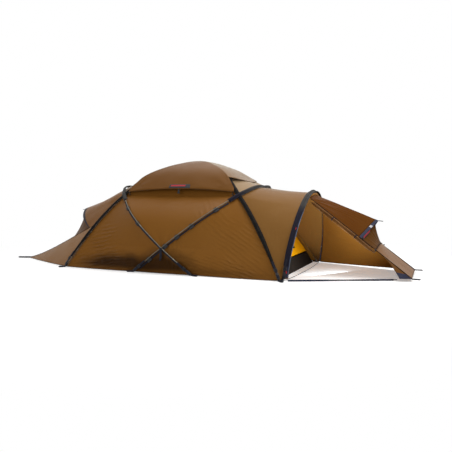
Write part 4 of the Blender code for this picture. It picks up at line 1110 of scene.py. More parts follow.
@dataclass(frozen=True)
class Slack:
    """Slow unevenness of stretched cloth."""

    height: float
    size: float
    turn: float = 0.0

    def lift(self, points: Array) -> Array:
        """Height of the unevenness at points.

        Args:
            points: Points of the sheet.

        Returns:
            Height at each point.
        """
        k = 2 * math.pi / self.size
        x, y, z = points[:, 0], points[:, 1], points[:, 2]
        first = np.sin(k * x + 1.3 * np.sin(k * 0.7 * z + self.turn))
        first = first * np.sin(k * 0.8 * z + 0.9 * np.sin(k * y))
        second = np.sin(k * 1.9 * (x * 0.6 + z * 0.8) + self.turn * 2.0 + 2.0 * np.sin(k * y * 0.5))
        return self.height * (0.7 * first + 0.3 * second)


Relief = Sequence[Union[Folds, Rays, Slack]]


# Making pieces


class Edge(Enum):
    """Edges of a panel."""

    TOP = "top"
    BOTTOM = "bottom"
    LEFT = "left"
    RIGHT = "right"


ALL_EDGES = (Edge.TOP, Edge.BOTTOM, Edge.LEFT, Edge.RIGHT)


@dataclass
class Panel:
    """Stretch of cloth: a surface, its cells, and the edges that are sewn."""

    surface: Surface
    across: int
    down: int
    sewn: tuple[Edge, ...] = ALL_EDGES
    opening: Optional[tuple[Pair, Pair]] = None

    def grid(self) -> tuple[Array, Array, Array, Array]:
        """Points, runs across and down, and distance to a sewn edge, over the cells.

        Returns:
            The four arrays, one row for each step across.
        """
        u, v = np.meshgrid(np.linspace(0, 1, self.across + 1), np.linspace(0, 1, self.down + 1),
                           indexing="ij")
        points = self.surface(u, v)
        steps_u = np.linalg.norm(np.diff(points, axis=0), axis=-1)
        steps_v = np.linalg.norm(np.diff(points, axis=1), axis=-1)
        run_u = np.concatenate([np.zeros((1, self.down + 1)), np.cumsum(steps_u, axis=0)])
        run_v = np.concatenate([np.zeros((self.across + 1, 1)), np.cumsum(steps_v, axis=1)], axis=1)
        seam = np.full(u.shape, 9.0)
        far_from = {Edge.LEFT: run_u, Edge.RIGHT: run_u[-1:] - run_u, Edge.TOP: run_v,
                    Edge.BOTTOM: run_v[:, -1:] - run_v}
        for edge in self.sewn:
            seam = np.minimum(seam, far_from[edge])
        return points, run_u, run_v, seam


class Shaper:
    """Collects shapes into one piece and installs it on the tent."""

    def __init__(self, name: str) -> None:
        """Starts an empty piece.

        Args:
            name: Piece's name.
        """
        self.name = name
        self.form = bmesh.new()
        self.form.verts.layers.float.new("seam")
        self.form.loops.layers.uv.new("cloth")
        self.area = 0.0
        self.size: Pair = (0.0, 0.0)

    def take(self, form: bmesh.types.BMesh) -> None:
        """Moves a shape into the piece.

        Args:
            form: Shape to move, which is freed.
        """
        mesh = bpy.data.meshes.new("passing")
        form.to_mesh(mesh)
        form.free()
        self.form.from_mesh(mesh)
        bpy.data.meshes.remove(mesh)

    def panel(self, panel: Panel, middle: Triple = INSIDE) -> "Shaper":
        """Adds a panel of cloth that faces away from a point inside the tent.

        Args:
            panel: Cloth to add.
            middle: Point that it faces away from.

        Returns:
            The piece.
        """
        points, run_u, run_v, seam = panel.grid()
        form = bmesh.new()
        bmesh.ops.create_grid(form, x_segments=panel.across, y_segments=panel.down, size=1.0)
        seam_layer = form.verts.layers.float.new("seam")
        cloth_layer = form.loops.layers.uv.new("cloth")
        places = []
        for vertex in form.verts:
            i = round((vertex.co.x + 1) / 2 * panel.across)
            j = round((vertex.co.y + 1) / 2 * panel.down)
            places.append((i, j))
            vertex.co = points[i, j]
            vertex[seam_layer] = seam[i, j]
        form.verts.index_update()
        doomed = []
        for face in form.faces:
            spots = [places[loop.vert.index] for loop in face.loops]
            for loop, (i, j) in zip(face.loops, spots):
                loop[cloth_layer].uv = (run_u[i, j], run_v[i, j])
            if panel.opening:
                share = np.mean(spots, axis=0) / np.array([panel.across, panel.down])
                (u_low, u_high), (v_low, v_high) = panel.opening
                if u_low < share[0] < u_high and v_low < share[1] < v_high:
                    doomed.append(face)
        bmesh.ops.delete(form, geom=doomed, context="FACES")
        form.normal_update()
        inside = Vector(middle)
        facing = sum(f.normal.dot(f.calc_center_median() - inside) * f.calc_area() for f in form.faces)
        if facing < 0:
            bmesh.ops.reverse_faces(form, faces=form.faces)
        self.area += sum(f.calc_area() for f in form.faces)
        self.size = (float(run_u.max()), float(run_v.max()))
        self.take(form)
        return self

    def weld(self, within: float = 0.00005) -> "Shaper":
        """Joins points that fall together."""
        bmesh.ops.remove_doubles(self.form, verts=self.form.verts, dist=within)
        return self

    def relief(self, parts: Relief, taut: float = 0.05) -> "Shaper":
        """Moves the cloth along its normals by folds and creases.

        Args:
            parts: Folds, creases and slack.
            taut: Distance from a seam over which they fade.

        Returns:
            The piece.
        """
        self.form.normal_update()
        seam_layer = self.form.verts.layers.float["seam"]
        points = np.array([vertex.co for vertex in self.form.verts])
        lift = sum(part.lift(points) for part in parts)
        for vertex, amount in zip(self.form.verts, lift):
            hold = min(vertex[seam_layer] / taut, 1.0)
            vertex.co += vertex.normal * float(amount) * hold * hold * (3 - 2 * hold)
        return self

    def block(self, size: Triple, matrix: Matrix, bevel: float = 0.001) -> "Shaper":
        """Adds a box with rounded edges.

        Args:
            size: Length, width and height along the matrix's axes.
            matrix: Place of its middle.
            bevel: Radius of its edges.

        Returns:
            The piece.
        """
        form = bmesh.new()
        bmesh.ops.create_cube(form, size=1.0)
        bmesh.ops.scale(form, vec=size, verts=form.verts)
        bmesh.ops.bevel(form, geom=form.edges[:], offset=bevel, affect="EDGES", segments=2, profile=0.5,
                        material=-1)
        bmesh.ops.transform(form, matrix=matrix, verts=form.verts)
        self.take(form)
        return self

    def spun(self, outline: Sequence[Pair], matrix: Matrix, steps: int = 20) -> "Shaper":
        """Adds a round shape, turned about the matrix's X axis.

        Args:
            outline: Places along the axis and radii, from one end to the other.
            matrix: Place of its axis.
            steps: Sides of the round shape.

        Returns:
            The piece.
        """
        form = bmesh.new()
        verts = [form.verts.new((x, radius, 0.0)) for x, radius in outline]
        edges = [form.edges.new(pair) for pair in zip(verts[:-1], verts[1:])]
        bmesh.ops.spin(form, geom=verts + edges, cent=(0, 0, 0), axis=(1, 0, 0), angle=2 * math.pi,
                       steps=steps, use_merge=True)
        bmesh.ops.remove_doubles(form, verts=form.verts, dist=0.00002)
        bmesh.ops.recalc_face_normals(form, faces=form.faces)
        bmesh.ops.transform(form, matrix=matrix, verts=form.verts)
        self.take(form)
        return self

    def rod(self, path: Array, radius: Union[float, Array], sides: int = 10, flatten: float = 1.0,
            twist: float = 0.0, lobes: float = 0.0) -> "Shaper":
        """Adds a round rod along a line of points, closed at both ends.

        Args:
            path: Points of its axis.
            radius: Its radius, or one for each point.
            sides: Points round it.
            flatten: Height of its section as a share of its width.
            twist: Turns of its lobes along its length.
            lobes: Height of three lobes as a share of the radius.

        Returns:
            The piece.
        """
        path = np.asarray(path, dtype=float)
        count = len(path)
        radii = np.broadcast_to(np.asarray(radius, dtype=float), (count,))
        run = unit(np.gradient(path, axis=0))
        up = vec(0.0, 0.0, 1.0) if abs(float(run[0, 2])) < 0.9 else vec(1.0, 0.0, 0.0)
        side = unit(np.cross(run, up))
        top = np.cross(side, run)
        form = bmesh.new()
        bmesh.ops.create_grid(form, x_segments=count - 1, y_segments=sides, size=1.0)
        cloth_layer = form.loops.layers.uv.new("cloth")
        along = np.concatenate([[0.0], np.cumsum(np.linalg.norm(np.diff(path, axis=0), axis=1))])
        places = []
        for vertex in form.verts:
            i = round((vertex.co.x + 1) / 2 * (count - 1))
            j = round((vertex.co.y + 1) / 2 * sides)
            a = 2 * math.pi * j / sides
            r = radii[i] * (1 + lobes * math.sin(3 * a + 2 * math.pi * twist * i / (count - 1)))
            places.append((along[i], a * radii[i]))
            vertex.co = path[i] + (side[i] * math.cos(a) + top[i] * math.sin(a) * flatten) * r
        form.verts.index_update()
        for face in form.faces:
            for loop in face.loops:
                loop[cloth_layer].uv = places[loop.vert.index]
        bmesh.ops.remove_doubles(form, verts=form.verts, dist=0.00001)
        bmesh.ops.holes_fill(form, edges=[e for e in form.edges if e.is_boundary], sides=0)
        bmesh.ops.recalc_face_normals(form, faces=form.faces)
        self.take(form)
        return self

    def install(self, finish: Finish, body: str = "tent", replaces: Iterable[str] = (), slot: str = "canopy",
                thickness: float = 0.0, sheet: Optional[Pair] = None, sharp: float = 38.0,
                offset: float = -1.0) -> bpy.types.Object:
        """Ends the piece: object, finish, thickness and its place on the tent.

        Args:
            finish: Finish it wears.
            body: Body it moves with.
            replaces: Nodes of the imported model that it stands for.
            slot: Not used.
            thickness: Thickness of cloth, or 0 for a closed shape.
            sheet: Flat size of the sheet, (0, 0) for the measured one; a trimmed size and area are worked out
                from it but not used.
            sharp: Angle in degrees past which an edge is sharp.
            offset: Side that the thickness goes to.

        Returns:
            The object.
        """
        mesh = bpy.data.meshes.new(self.name)
        self.form.to_mesh(mesh)
        self.form.free()
        mesh.shade_smooth()
        mesh.set_sharp_from_angle(angle=math.radians(sharp))
        mesh.materials.append(finish.material())
        piece = bpy.data.objects.new(self.name, mesh)
        bpy.context.scene.collection.objects.link(piece)
        if thickness:
            shell = piece.modifiers.new("thickness", "SOLIDIFY")
            shell.thickness = thickness
            shell.offset = offset
        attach(piece, body)
        if replaces:
            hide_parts(*replaces)
        if sheet is not None:
            flat = sheet if sheet[0] else self.size
            trim = min(1.0, math.sqrt(self.area / (0.34 * flat[0] * flat[1])))
            flat = (flat[0] * trim, flat[1] * trim)
            min(self.area, flat[0] * flat[1])
        LOG.info("%s on %s, %d faces", self.name, body, len(mesh.polygons))
        return piece


def cloth_sheet(name: str, surface: Surface, cells: tuple[int, int], finish: Finish, node: str,
                spans: tuple[Pair, Pair] = (WHOLE, WHOLE), middle: Triple = INSIDE, relief: Relief = (),
                taut: float = 0.05, body: str = "tent", slot: str = "canopy", thickness: float = FLY_CLOTH,
                opening: Optional[tuple[Pair, Pair]] = None) -> None:
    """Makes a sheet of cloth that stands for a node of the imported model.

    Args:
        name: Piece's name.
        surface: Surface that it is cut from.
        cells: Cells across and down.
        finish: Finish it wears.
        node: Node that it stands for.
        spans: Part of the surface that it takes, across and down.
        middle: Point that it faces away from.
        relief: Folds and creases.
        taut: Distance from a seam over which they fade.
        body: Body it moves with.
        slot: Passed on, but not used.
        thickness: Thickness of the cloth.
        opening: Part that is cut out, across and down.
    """
    shaper = Shaper(name).panel(Panel(window(surface, *spans), *cells, opening=opening), middle)
    if relief:
        shaper.relief(relief, taut)
    shaper.install(finish, body, [node], slot, thickness, MEASURED)


def trim(name: str, surface: Surface, cells: tuple[int, int], finish: Finish,
         spans: tuple[Pair, Pair] = (WHOLE, WHOLE), middle: Triple = INSIDE, thickness: float = THIN_CLOTH,
         slot: str = "webbing", body: str = "tent", replaces: Iterable[str] = (), weld: bool = False) -> None:
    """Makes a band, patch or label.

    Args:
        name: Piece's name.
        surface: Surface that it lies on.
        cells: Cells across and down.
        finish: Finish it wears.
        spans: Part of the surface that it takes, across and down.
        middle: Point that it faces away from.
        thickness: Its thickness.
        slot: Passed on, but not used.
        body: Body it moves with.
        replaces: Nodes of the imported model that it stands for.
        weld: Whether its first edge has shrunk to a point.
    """
    shaper = Shaper(name).panel(Panel(window(surface, *spans), *cells), middle)
    if weld:
        shaper.weld()
    shaper.install(finish, body, replaces, slot, thickness)


def edging(name: str, path: Array, radius: float, finish: Optional[Finish] = None, slot: str = "canopy",
           sides: int = 8) -> None:
    """Makes piping, binding or a line along a path, in binding cloth where no finish is given."""
    Shaper(name).rod(path, radius, sides).install(finish or Finishes.binding, slot=slot)


def fitting(shaper: Shaper, body: str = "tent", replaces: Iterable[str] = ()) -> None:
    """Ends a piece of black plastic."""
    shaper.install(Finishes.plastic, body, replaces, "plastic")


# The dome's fly


@dataclass
class DomeFly:
    """Two long sides and two roof panels of the dome."""

    form: TentForm
    side_sag: float = 0.018
    low_sag: float = 0.0054
    sag_fall: float = 0.35
    hem_bow: float = 0.020
    mid_hem_bow: float = 0.010
    seam_gap: float = 0.0016
    cells: int = 40

    def side_panels(self, side: int) -> list[Panel]:
        """Four panels that make up one long side.

        Args:
            side: NEAR or FAR.

        Returns:
            The panels.
        """
        form = self.form
        sag_in = (0.0, float(-side), -self.sag_fall)
        hem_step = form.step_at(form.hem_height)
        hem_angle = form.hem_height / form.arch_foot[1]
        mid = {end: form.arch_run(end, side, form.cross_angle, form.low_angle) for end in (REAR, FRONT)}
        down = {end: form.arch_run(end, side, form.low_angle, hem_angle) for end in (REAR, FRONT)}
        rear_edge = in_turn(form.leg(REAR, side, 0, form.cross_step), mid[REAR])
        front_edge = in_turn(form.leg(FRONT, side, 0, form.cross_step), mid[FRONT])
        upper = stretched(shrunk(rear_edge, 0), shrunk(rear_edge, 1), rear_edge, front_edge, self.side_sag,
                          sag_in)
        low = stretched(shrunk(down[FRONT], 0),
                        straight(down[FRONT](1.0), down[REAR](1.0), (0.0, side * self.mid_hem_bow, 0.0)),
                        down[FRONT], down[REAR], self.low_sag, sag_in)
        panels = [Panel(upper, self.cells, 2 * self.cells, ()),
                  Panel(low, self.cells, self.cells, (Edge.BOTTOM,))]
        for end in (REAR, FRONT):
            inner_edge = in_turn(mid[end], down[-end])
            spread = np.linspace(0, 1, 61)
            steps = [form.step_at(float(z)) for z in inner_edge(spread)[:, 2]]
            steps[-1] = hem_step

            def outer_edge(t: Array, end: int = end, steps: list[float] = steps) -> Array:
                """Point of the leg, from the first step down to the hem."""
                return form.under_dome(form.diagonal_leg(end, side, np.interp(t, spread, steps)))
            hem = straight(outer_edge(1.0), inner_edge(1.0), (0.0, side * self.hem_bow, 0.0))
            panel = stretched(shrunk(inner_edge, 0), hem, outer_edge, inner_edge, self.side_sag, sag_in, 3)
            panels.append(Panel(panel, self.cells, 2 * self.cells, (Edge.LEFT, Edge.BOTTOM)))
        return panels

    def side_relief(self, side: int) -> Relief:
        """Folds and creases of one long side.

        Args:
            side: NEAR or FAR.

        Returns:
            The folds and creases.
        """
        face = (0.0, float(side), 0.0)
        y = side * 0.9
        parts: list[Union[Folds, Rays, Slack]] = [
            Slack(0.0028, 0.55, 0.4 * side),
            Folds((0.92, y, 0.36), (0.88, 0.0, -0.47), (0.36, 0.24), 0.050, 0.0045, face),
            Folds((-1.02, y, 0.30), (0.93, 0.0, 0.22), (0.24, 0.24), 0.046, 0.0100, face),
            Folds((-0.85, y, 0.12), (0.97, 0.0, 0.10), (0.30, 0.10), 0.036, 0.0070, face),
            Folds((0.13, y, 0.24), (0.05, 0.0, 1.0), (0.26, 0.12), 0.045, 0.0065, face),
            Folds((0.62, y, 0.05), (0.93, 0.0, 0.22), (0.45, 0.050), 0.026, 0.0065, face),
            Folds((-0.62, y, 0.06), (0.96, 0.0, -0.12), (0.5, 0.05), 0.028, 0.0070, face),
            Folds((0.0, y, 0.95), (1.0, 0.0, 0.05), (0.5, 0.10), 0.085, 0.0045, face)]
        for x in (-self.form.arch_foot[0], self.form.arch_foot[0]):
            parts.append(Rays((x, side * 0.94, 0.02), 7, 0.20, 0.0045, face, x))
        for end in (REAR, FRONT):
            parts.append(Rays((end * 1.36, side * 0.90, 0.03), 9, 0.26, 0.0050, face, float(end)))
            parts.append(Rays((end * 0.80, side * 0.53, 0.93), 8, 0.16, 0.0040, face, 1.0))
        parts.append(Rays((0.0, side * 0.95, self.form.low_height), 8, 0.22, 0.0050, face, 0.6))
        return parts

    def build(self) -> None:
        """Makes the sides and the roof panels."""
        for side, word in SIDES:
            shaper = Shaper(f"dome_side_cloth_{word}")
            for panel in self.side_panels(side):
                shaper.panel(panel)
            shaper.weld().relief(self.side_relief(side))
            bmesh.ops.translate(shaper.form, vec=(0.0, side * self.seam_gap, 0.0), verts=shaper.form.verts)
            shaper.install(Finishes.side, replaces=[f"fly_side_{word}"], thickness=FLY_CLOTH,
                           sheet=(2.80, 1.55))
        for end, word, finish in ((REAR, "rear", Finishes.tunnel), (FRONT, "front", Finishes.canopy)):
            legs = [self.form.leg(end, side, 0, self.form.cross_step) for side in (NEAR, FAR)]
            roof = stretched(shrunk(legs[0], 0), self.form.over_the_top(end), *legs, power=3)
            relief = [Slack(0.002, 0.4, 1.0),
                      Folds((end * 0.7, 0.0, 1.02), (0.0, 1.0, 0.0), (0.3, 0.2), 0.07, 0.002, UP)]
            cloth_sheet(f"dome_roof_cloth_{word}", roof, (50, 40), finish, f"fly_roof_{word}",
                        ((0.003, 0.997), (0.02, 0.998)), relief=relief)


@dataclass
class RoofCap:
    """Vent cap over the peak with its label, ties and hooks."""

    form: TentForm
    side_step: float = 0.560
    end_step: float = 0.430
    end_bulge: float = 0.130
    end_lift: float = 0.100
    rear_lift: float = 0.014
    rise: float = 0.017
    edge_lift: float = 0.010
    side_bow: float = 0.045
    end_bow: float = 0.035
    flap_start: float = 0.03
    thickness: float = 0.0014
    label_size: Pair = (0.250, 0.044)
    label_centre: float = 0.125
    label_span: Pair = (0.925, 0.985)
    cap_round: float = 5.3
    tie_places: tuple[float, ...] = (0.012, 0.238, 0.262, 0.488, 0.512, 0.738, 0.762, 0.988)
    tie_length: float = 0.040

    def surface(self, u: Array, v: Array) -> Array:
        """Cap in polar form: u goes round from the rear near leg, v down to the edge.

        Args:
            u: Shares of the way round.
            v: Shares of the way down.

        Returns:
            The points.
        """
        legs = [(-1, NEAR), (1, NEAR), (1, FAR), (-1, FAR), (-1, NEAR)]
        sector = np.minimum((u * 4).astype(int), 3)
        share = u * 4 - sector
        long_side = sector % 2 == 0
        rise = np.clip(np.minimum(share, 1 - share) / self.flap_start, 0, 1)
        flap = (self.side_step - self.end_step) * rise * rise * (3 - 2 * rise)
        belly = 4 * share * (1 - share)
        front = sector == 1
        bulge = np.where(front, self.end_bulge, 0.0) * belly
        step = v * (self.end_step + np.where(long_side, flap, bulge))
        first = np.zeros(u.shape + (3,))
        second = np.zeros(u.shape + (3,))
        for k in range(4):
            here = sector == k
            first[here] = self.form.diagonal_leg(*legs[k], step[here])
            second[here] = self.form.diagonal_leg(*legs[k + 1], step[here])
        points = first + (second - first) * share[..., None]
        bow = np.where(long_side, self.side_bow, self.end_bow)
        points[..., 2] += self.rise + self.edge_lift * v ** 3 + bow * belly * v ** 2
        lift = np.where(front, self.end_lift, np.where(long_side, 0.0, self.rear_lift))
        points[..., 2] += lift * belly * v ** 5
        return points

    def build(self) -> None:
        """Makes the cap and what is sewn to it."""
        along = (1.0, 0.0, 0.0)
        relief = [Slack(0.0026, 0.42, 2.0), Folds((0.0, -0.45, 1.06), along, (0.45, 0.06), 0.05, 0.0024),
                  Rays((0.62, -0.42, 1.02), 7, 0.16, 0.004), Rays((-0.62, -0.42, 1.02), 7, 0.16, 0.004),
                  Folds((0.42, 0.0, 1.22), (0.3, 1.0, 0.0), (0.3, 0.12), 0.06, 0.002, UP)]
        cap = Shaper("peak_cap_cloth").panel(Panel(self.surface, 192, 30, (Edge.BOTTOM,)), ORIGIN)
        cap.weld().relief(relief, 0.03)
        cap.install(Finishes.cap, "roof_cap", ["roof_cap"], thickness=self.thickness, sheet=(3.6, 0.80),
                    offset=1.0, sharp=9.0)
        half = self.label_size[0] / 2 / self.cap_round
        for side, word in SIDES:
            centre = self.label_centre + (0.5 if side == FAR else 0.0)
            trim(f"cap_label_{word}", proud(self.surface, 0.0042, ORIGIN), (30, 5), Finishes.label,
                 ((centre - half, centre + half), self.label_span), ORIGIN, 0.0008, "canopy", "roof_cap")
            edge = self.surface(np.array(centre), np.array(1.0))
            tab = Shaper(f"cap_hook_{word}")
            for out, drop, size, bevel in ((0.004, -0.022, (0.022, 0.040, 0.0018), 0.0006),
                                           (0.006, -0.048, (0.032, 0.016, 0.008), 0.002)):
                place = frame_at(edge + vec(0.0, side * out, drop), along, (0.0, float(side), 0.15))
                tab.block(size, place, bevel)
            fitting(tab, "roof_cap")
        for index, u in enumerate(self.tie_places):
            edge = self.surface(np.array(u), np.array(0.99))
            below = edge + vec(0.0, 0.0, -self.tie_length)
            tie = Shaper(f"cap_corner_tie_{index}").rod(np.linspace(edge, below, 4), 0.0035, 8)
            fitting(tie.block((0.018, 0.014, 0.010), Matrix.Translation(Vector(below)), 0.002), "roof_cap")


@dataclass
class Tunnel:
    """Cloth from the front of the dome to the porch pole."""

    form: TentForm
    hem_height: float = 0.012
    tuck: float = 0.056
    ridge_sag: float = 0.012

    def surface(self, side: int) -> Surface:
        """Cloth of one side of the ridge.

        Args:
            side: NEAR or FAR.

        Returns:
            The surface.
        """
        form = self.form
        last_step = form.step_at(self.hem_height)
        last_angle = self.hem_height / form.porch_foot[1]
        dome_edge = chained(form.arch_run(FRONT, side, math.pi / 2, form.cross_angle),
                            form.leg(FRONT, side, form.cross_step, last_step))

        def porch_edge(t: Array) -> Array:
            """Point of the sheet's edge on the porch arch."""
            t = np.asarray(t, dtype=float)
            drop = form.cloth_drop + self.tuck * t[..., None] ** 4
            points = form.under_porch(form.porch_arch(between(math.pi / 2, last_angle, t), form.zip_flap),
                                      drop)
            return points if side == NEAR else mirror_y(points)
        ridge = straight(dome_edge(0.0), porch_edge(0.0), (0.0, 0.0, -self.ridge_sag))
        hem = straight(dome_edge(1.0), porch_edge(1.0))
        return stretched(ridge, hem, dome_edge, porch_edge)

    def build(self) -> None:
        """Makes both sides."""
        for side, word in SIDES:
            face = (0.2, float(side), 0.1)
            relief = [Slack(0.0022, 0.45, 3.0 + side),
                      Folds((1.30, side * 0.70, 0.52), (0.15, 0.0, 1.0), (0.34, 0.10), 0.055, 0.0028, face),
                      Folds((1.38, side * 0.83, 0.16), (0.3, 0.0, 1.0), (0.16, 0.08), 0.026, 0.0030, face),
                      Rays((1.36, side * 0.88, 0.03), 7, 0.18, 0.004, face)]
            cloth_sheet(f"tunnel_cloth_{word}", self.surface(side), (40, 96), Finishes.tunnel,
                        f"fly_tunnel_side_{word}", (INSET, (0.0, 0.999)), (1.2, 0.0, 0.2), relief, 0.04)


# Vestibules


@dataclass
class Vestibule:
    """Seams, hood and walls of one vestibule."""

    end: int
    start: Array
    corner_size: Triple
    hood_size: Triple
    hood_share: float
    sill_share: float
    hood_bow: float
    sill_reach: float
    sill_rise: float
    seam_sag: float = 0.0
    end_wall_sag: float = 0.020
    end_hem_lift: float = 0.004
    screen_setback: float = 0.050
    screen_drop: float = 0.009
    screen_side_gap: float = 0.006
    screen_sill_gap: float = 0.004
    screen_follow: float = 0.55
    screen_drape: float = 0.125

    @property
    def corner(self) -> Array:
        """Near ground corner."""
        return np.array([self.end * self.corner_size[0], -self.corner_size[1], self.corner_size[2]])

    @property
    def hood_tip(self) -> Array:
        """Tip of the hood."""
        return np.array([self.end * self.hood_size[0], self.hood_size[1], self.hood_size[2]])

    def seam(self, side: int, low: float = 0.0, high: float = 1.0) -> Curve:
        """Slanted seam from the pole down to a ground corner.

        Args:
            side: NEAR or FAR.
            low: Share at which the run starts.
            high: Share at which it ends.

        Returns:
            The seam.
        """
        def curve(t: Array) -> Array:
            """Point of the seam, which sags a little."""
            share = between(low, high, t)[..., None]
            points = self.start + (self.corner - self.start) * share
            points[..., 2] -= self.seam_sag * 27 / 4 * (share ** 2 * (1 - share))[..., 0]
            return points if side == NEAR else mirror_y(points)
        return curve

    def hood_edge(self, t: Array) -> Array:
        """Edge of the hood from its near corner over the tip to its far corner.

        Args:
            t: Share of the way, from 0 to 1.

        Returns:
            The points.
        """
        t = np.asarray(t, dtype=float)
        near_corner = self.seam(NEAR)(np.array(self.hood_share))
        half = 1 - np.abs(2 * t - 1)
        base = near_corner + (self.hood_tip - near_corner) * half[..., None]
        base[..., 0] += self.end * 4 * half * (1 - half) * self.hood_bow
        return np.where((t > 0.5)[..., None], mirror_y(base), base)

    def sill(self, t: Array) -> Array:
        """Top edge of the end wall, under the hood.

        Args:
            t: Share of the way, from 0 to 1.

        Returns:
            The points.
        """
        t = np.asarray(t, dtype=float)
        near_end = self.seam(NEAR)(np.array(self.sill_share))
        belly = 4 * t * (1 - t)
        return stack(near_end[0] + self.end * self.sill_reach * belly, near_end[1] * (1 - 2 * t),
                     near_end[2] + self.sill_rise * belly)

    def roof(self, pole_edge: Curve) -> Surface:
        """Roof from the pole to the hood's edge."""
        return stretched(pole_edge, self.hood_edge, self.seam(NEAR, 0, self.hood_share),
                         self.seam(FAR, 0, self.hood_share))

    def end_wall(self) -> Surface:
        """Low wall between the ground corners.

        Returns:
            The surface.
        """
        hem = straight(self.corner, mirror_y(self.corner), (0.0, 0.0, self.end_hem_lift))
        return stretched(self.sill, hem, self.seam(NEAR, self.sill_share, 1),
                         self.seam(FAR, self.sill_share, 1),
                         -self.end_wall_sag, (float(self.end), 0.0, 0.35))

    def screen(self) -> Surface:
        """Vent cloth between the hood's underside and the sill.

        Returns:
            The surface.
        """
        near_low = self.seam(NEAR)(np.array(self.sill_share))
        near_high = self.seam(NEAR)(np.array(self.hood_share))
        slope = (self.hood_tip[2] - self.start[2]) / abs(self.hood_tip[0] - self.start[0])
        fall = slope * self.screen_setback * self.screen_follow + self.screen_drop
        under_hood = vec(-self.end * self.screen_setback, 0.0, -fall)
        over_sill = vec(-self.end * self.screen_sill_gap, 0.0, self.screen_sill_gap)

        def narrowed(points: Array, corner: Array) -> Array:
            """Points drawn in from the side walls."""
            return points * np.array([1.0, 1 - self.screen_side_gap / abs(corner[1]), 1.0])

        def top(t: Array) -> Array:
            """Edge under the hood."""
            return narrowed(self.hood_edge(t) + under_hood, near_high)

        def bottom(t: Array) -> Array:
            """Edge over the sill."""
            return narrowed(self.sill(t) + over_sill, near_low)
        drape = self.screen_drape * abs(near_low[0] - self.hood_tip[0])
        return stretched(top, bottom, straight(top(0.0), bottom(0.0)), straight(top(1.0), bottom(1.0)),
                         -drape, (float(self.end), 0.0, 0.0))

    def corner_patch(self, side: int, width: float, height: float) -> Surface:
        """Three-cornered reinforcement on a ground corner of the end wall.

        Args:
            side: NEAR or FAR.
            width: Share of the wall's width.
            height: Share of the wall's height.

        Returns:
            The surface.
        """
        carried = proud(self.end_wall(), 0.0022, (self.end * 1.6, 0.0, 0.0))

        def surface(u: Array, v: Array) -> Array:
            """Point of the patch on the end wall."""
            share = u * v * width
            return carried(share if side == NEAR else 1 - share, 1 - height * (1 - v))
        return surface


def band_share(surface: Surface, width: float) -> float:
    """Part of a roof's length that its edge band takes."""
    points = surface(np.full(20, 0.25), np.linspace(0, 1, 20))
    return width / float(np.linalg.norm(np.diff(points, axis=0), axis=1).sum())


def peg_loop(name: str, corner: Array, away: Sequence[float], length: float, width: float = 0.010) -> None:
    """Makes a loop of narrow webbing at a corner.

    Args:
        name: Piece's name.
        corner: Place where it is sewn on.
        away: Direction that it lies in.
        length: Its length.
        width: Width of the webbing.
    """
    along = unit(np.asarray(away, dtype=float))
    side = unit(np.cross(along, np.array(UP)))
    half = 0.011
    path = [corner + side * half * 0.5]
    for angle in np.linspace(0, math.pi, 9):
        path.append(corner + along * (length - half + half * math.sin(angle)) + side * half * math.cos(angle))
    path.append(corner - side * half * 0.5)
    Shaper(name).rod(np.array(path), width / 2, 8, 0.8).install(Finishes.webbing, slot="webbing")


def sill_binding(name: str, vest: Vestibule) -> None:
    """Binds the top edge of an end wall, where the vent cloth meets it."""
    edging(name, vest.sill(np.linspace(0.004, 0.996, 50)) + vec(-vest.end * 0.002, 0.0, 0.001), 0.0065)


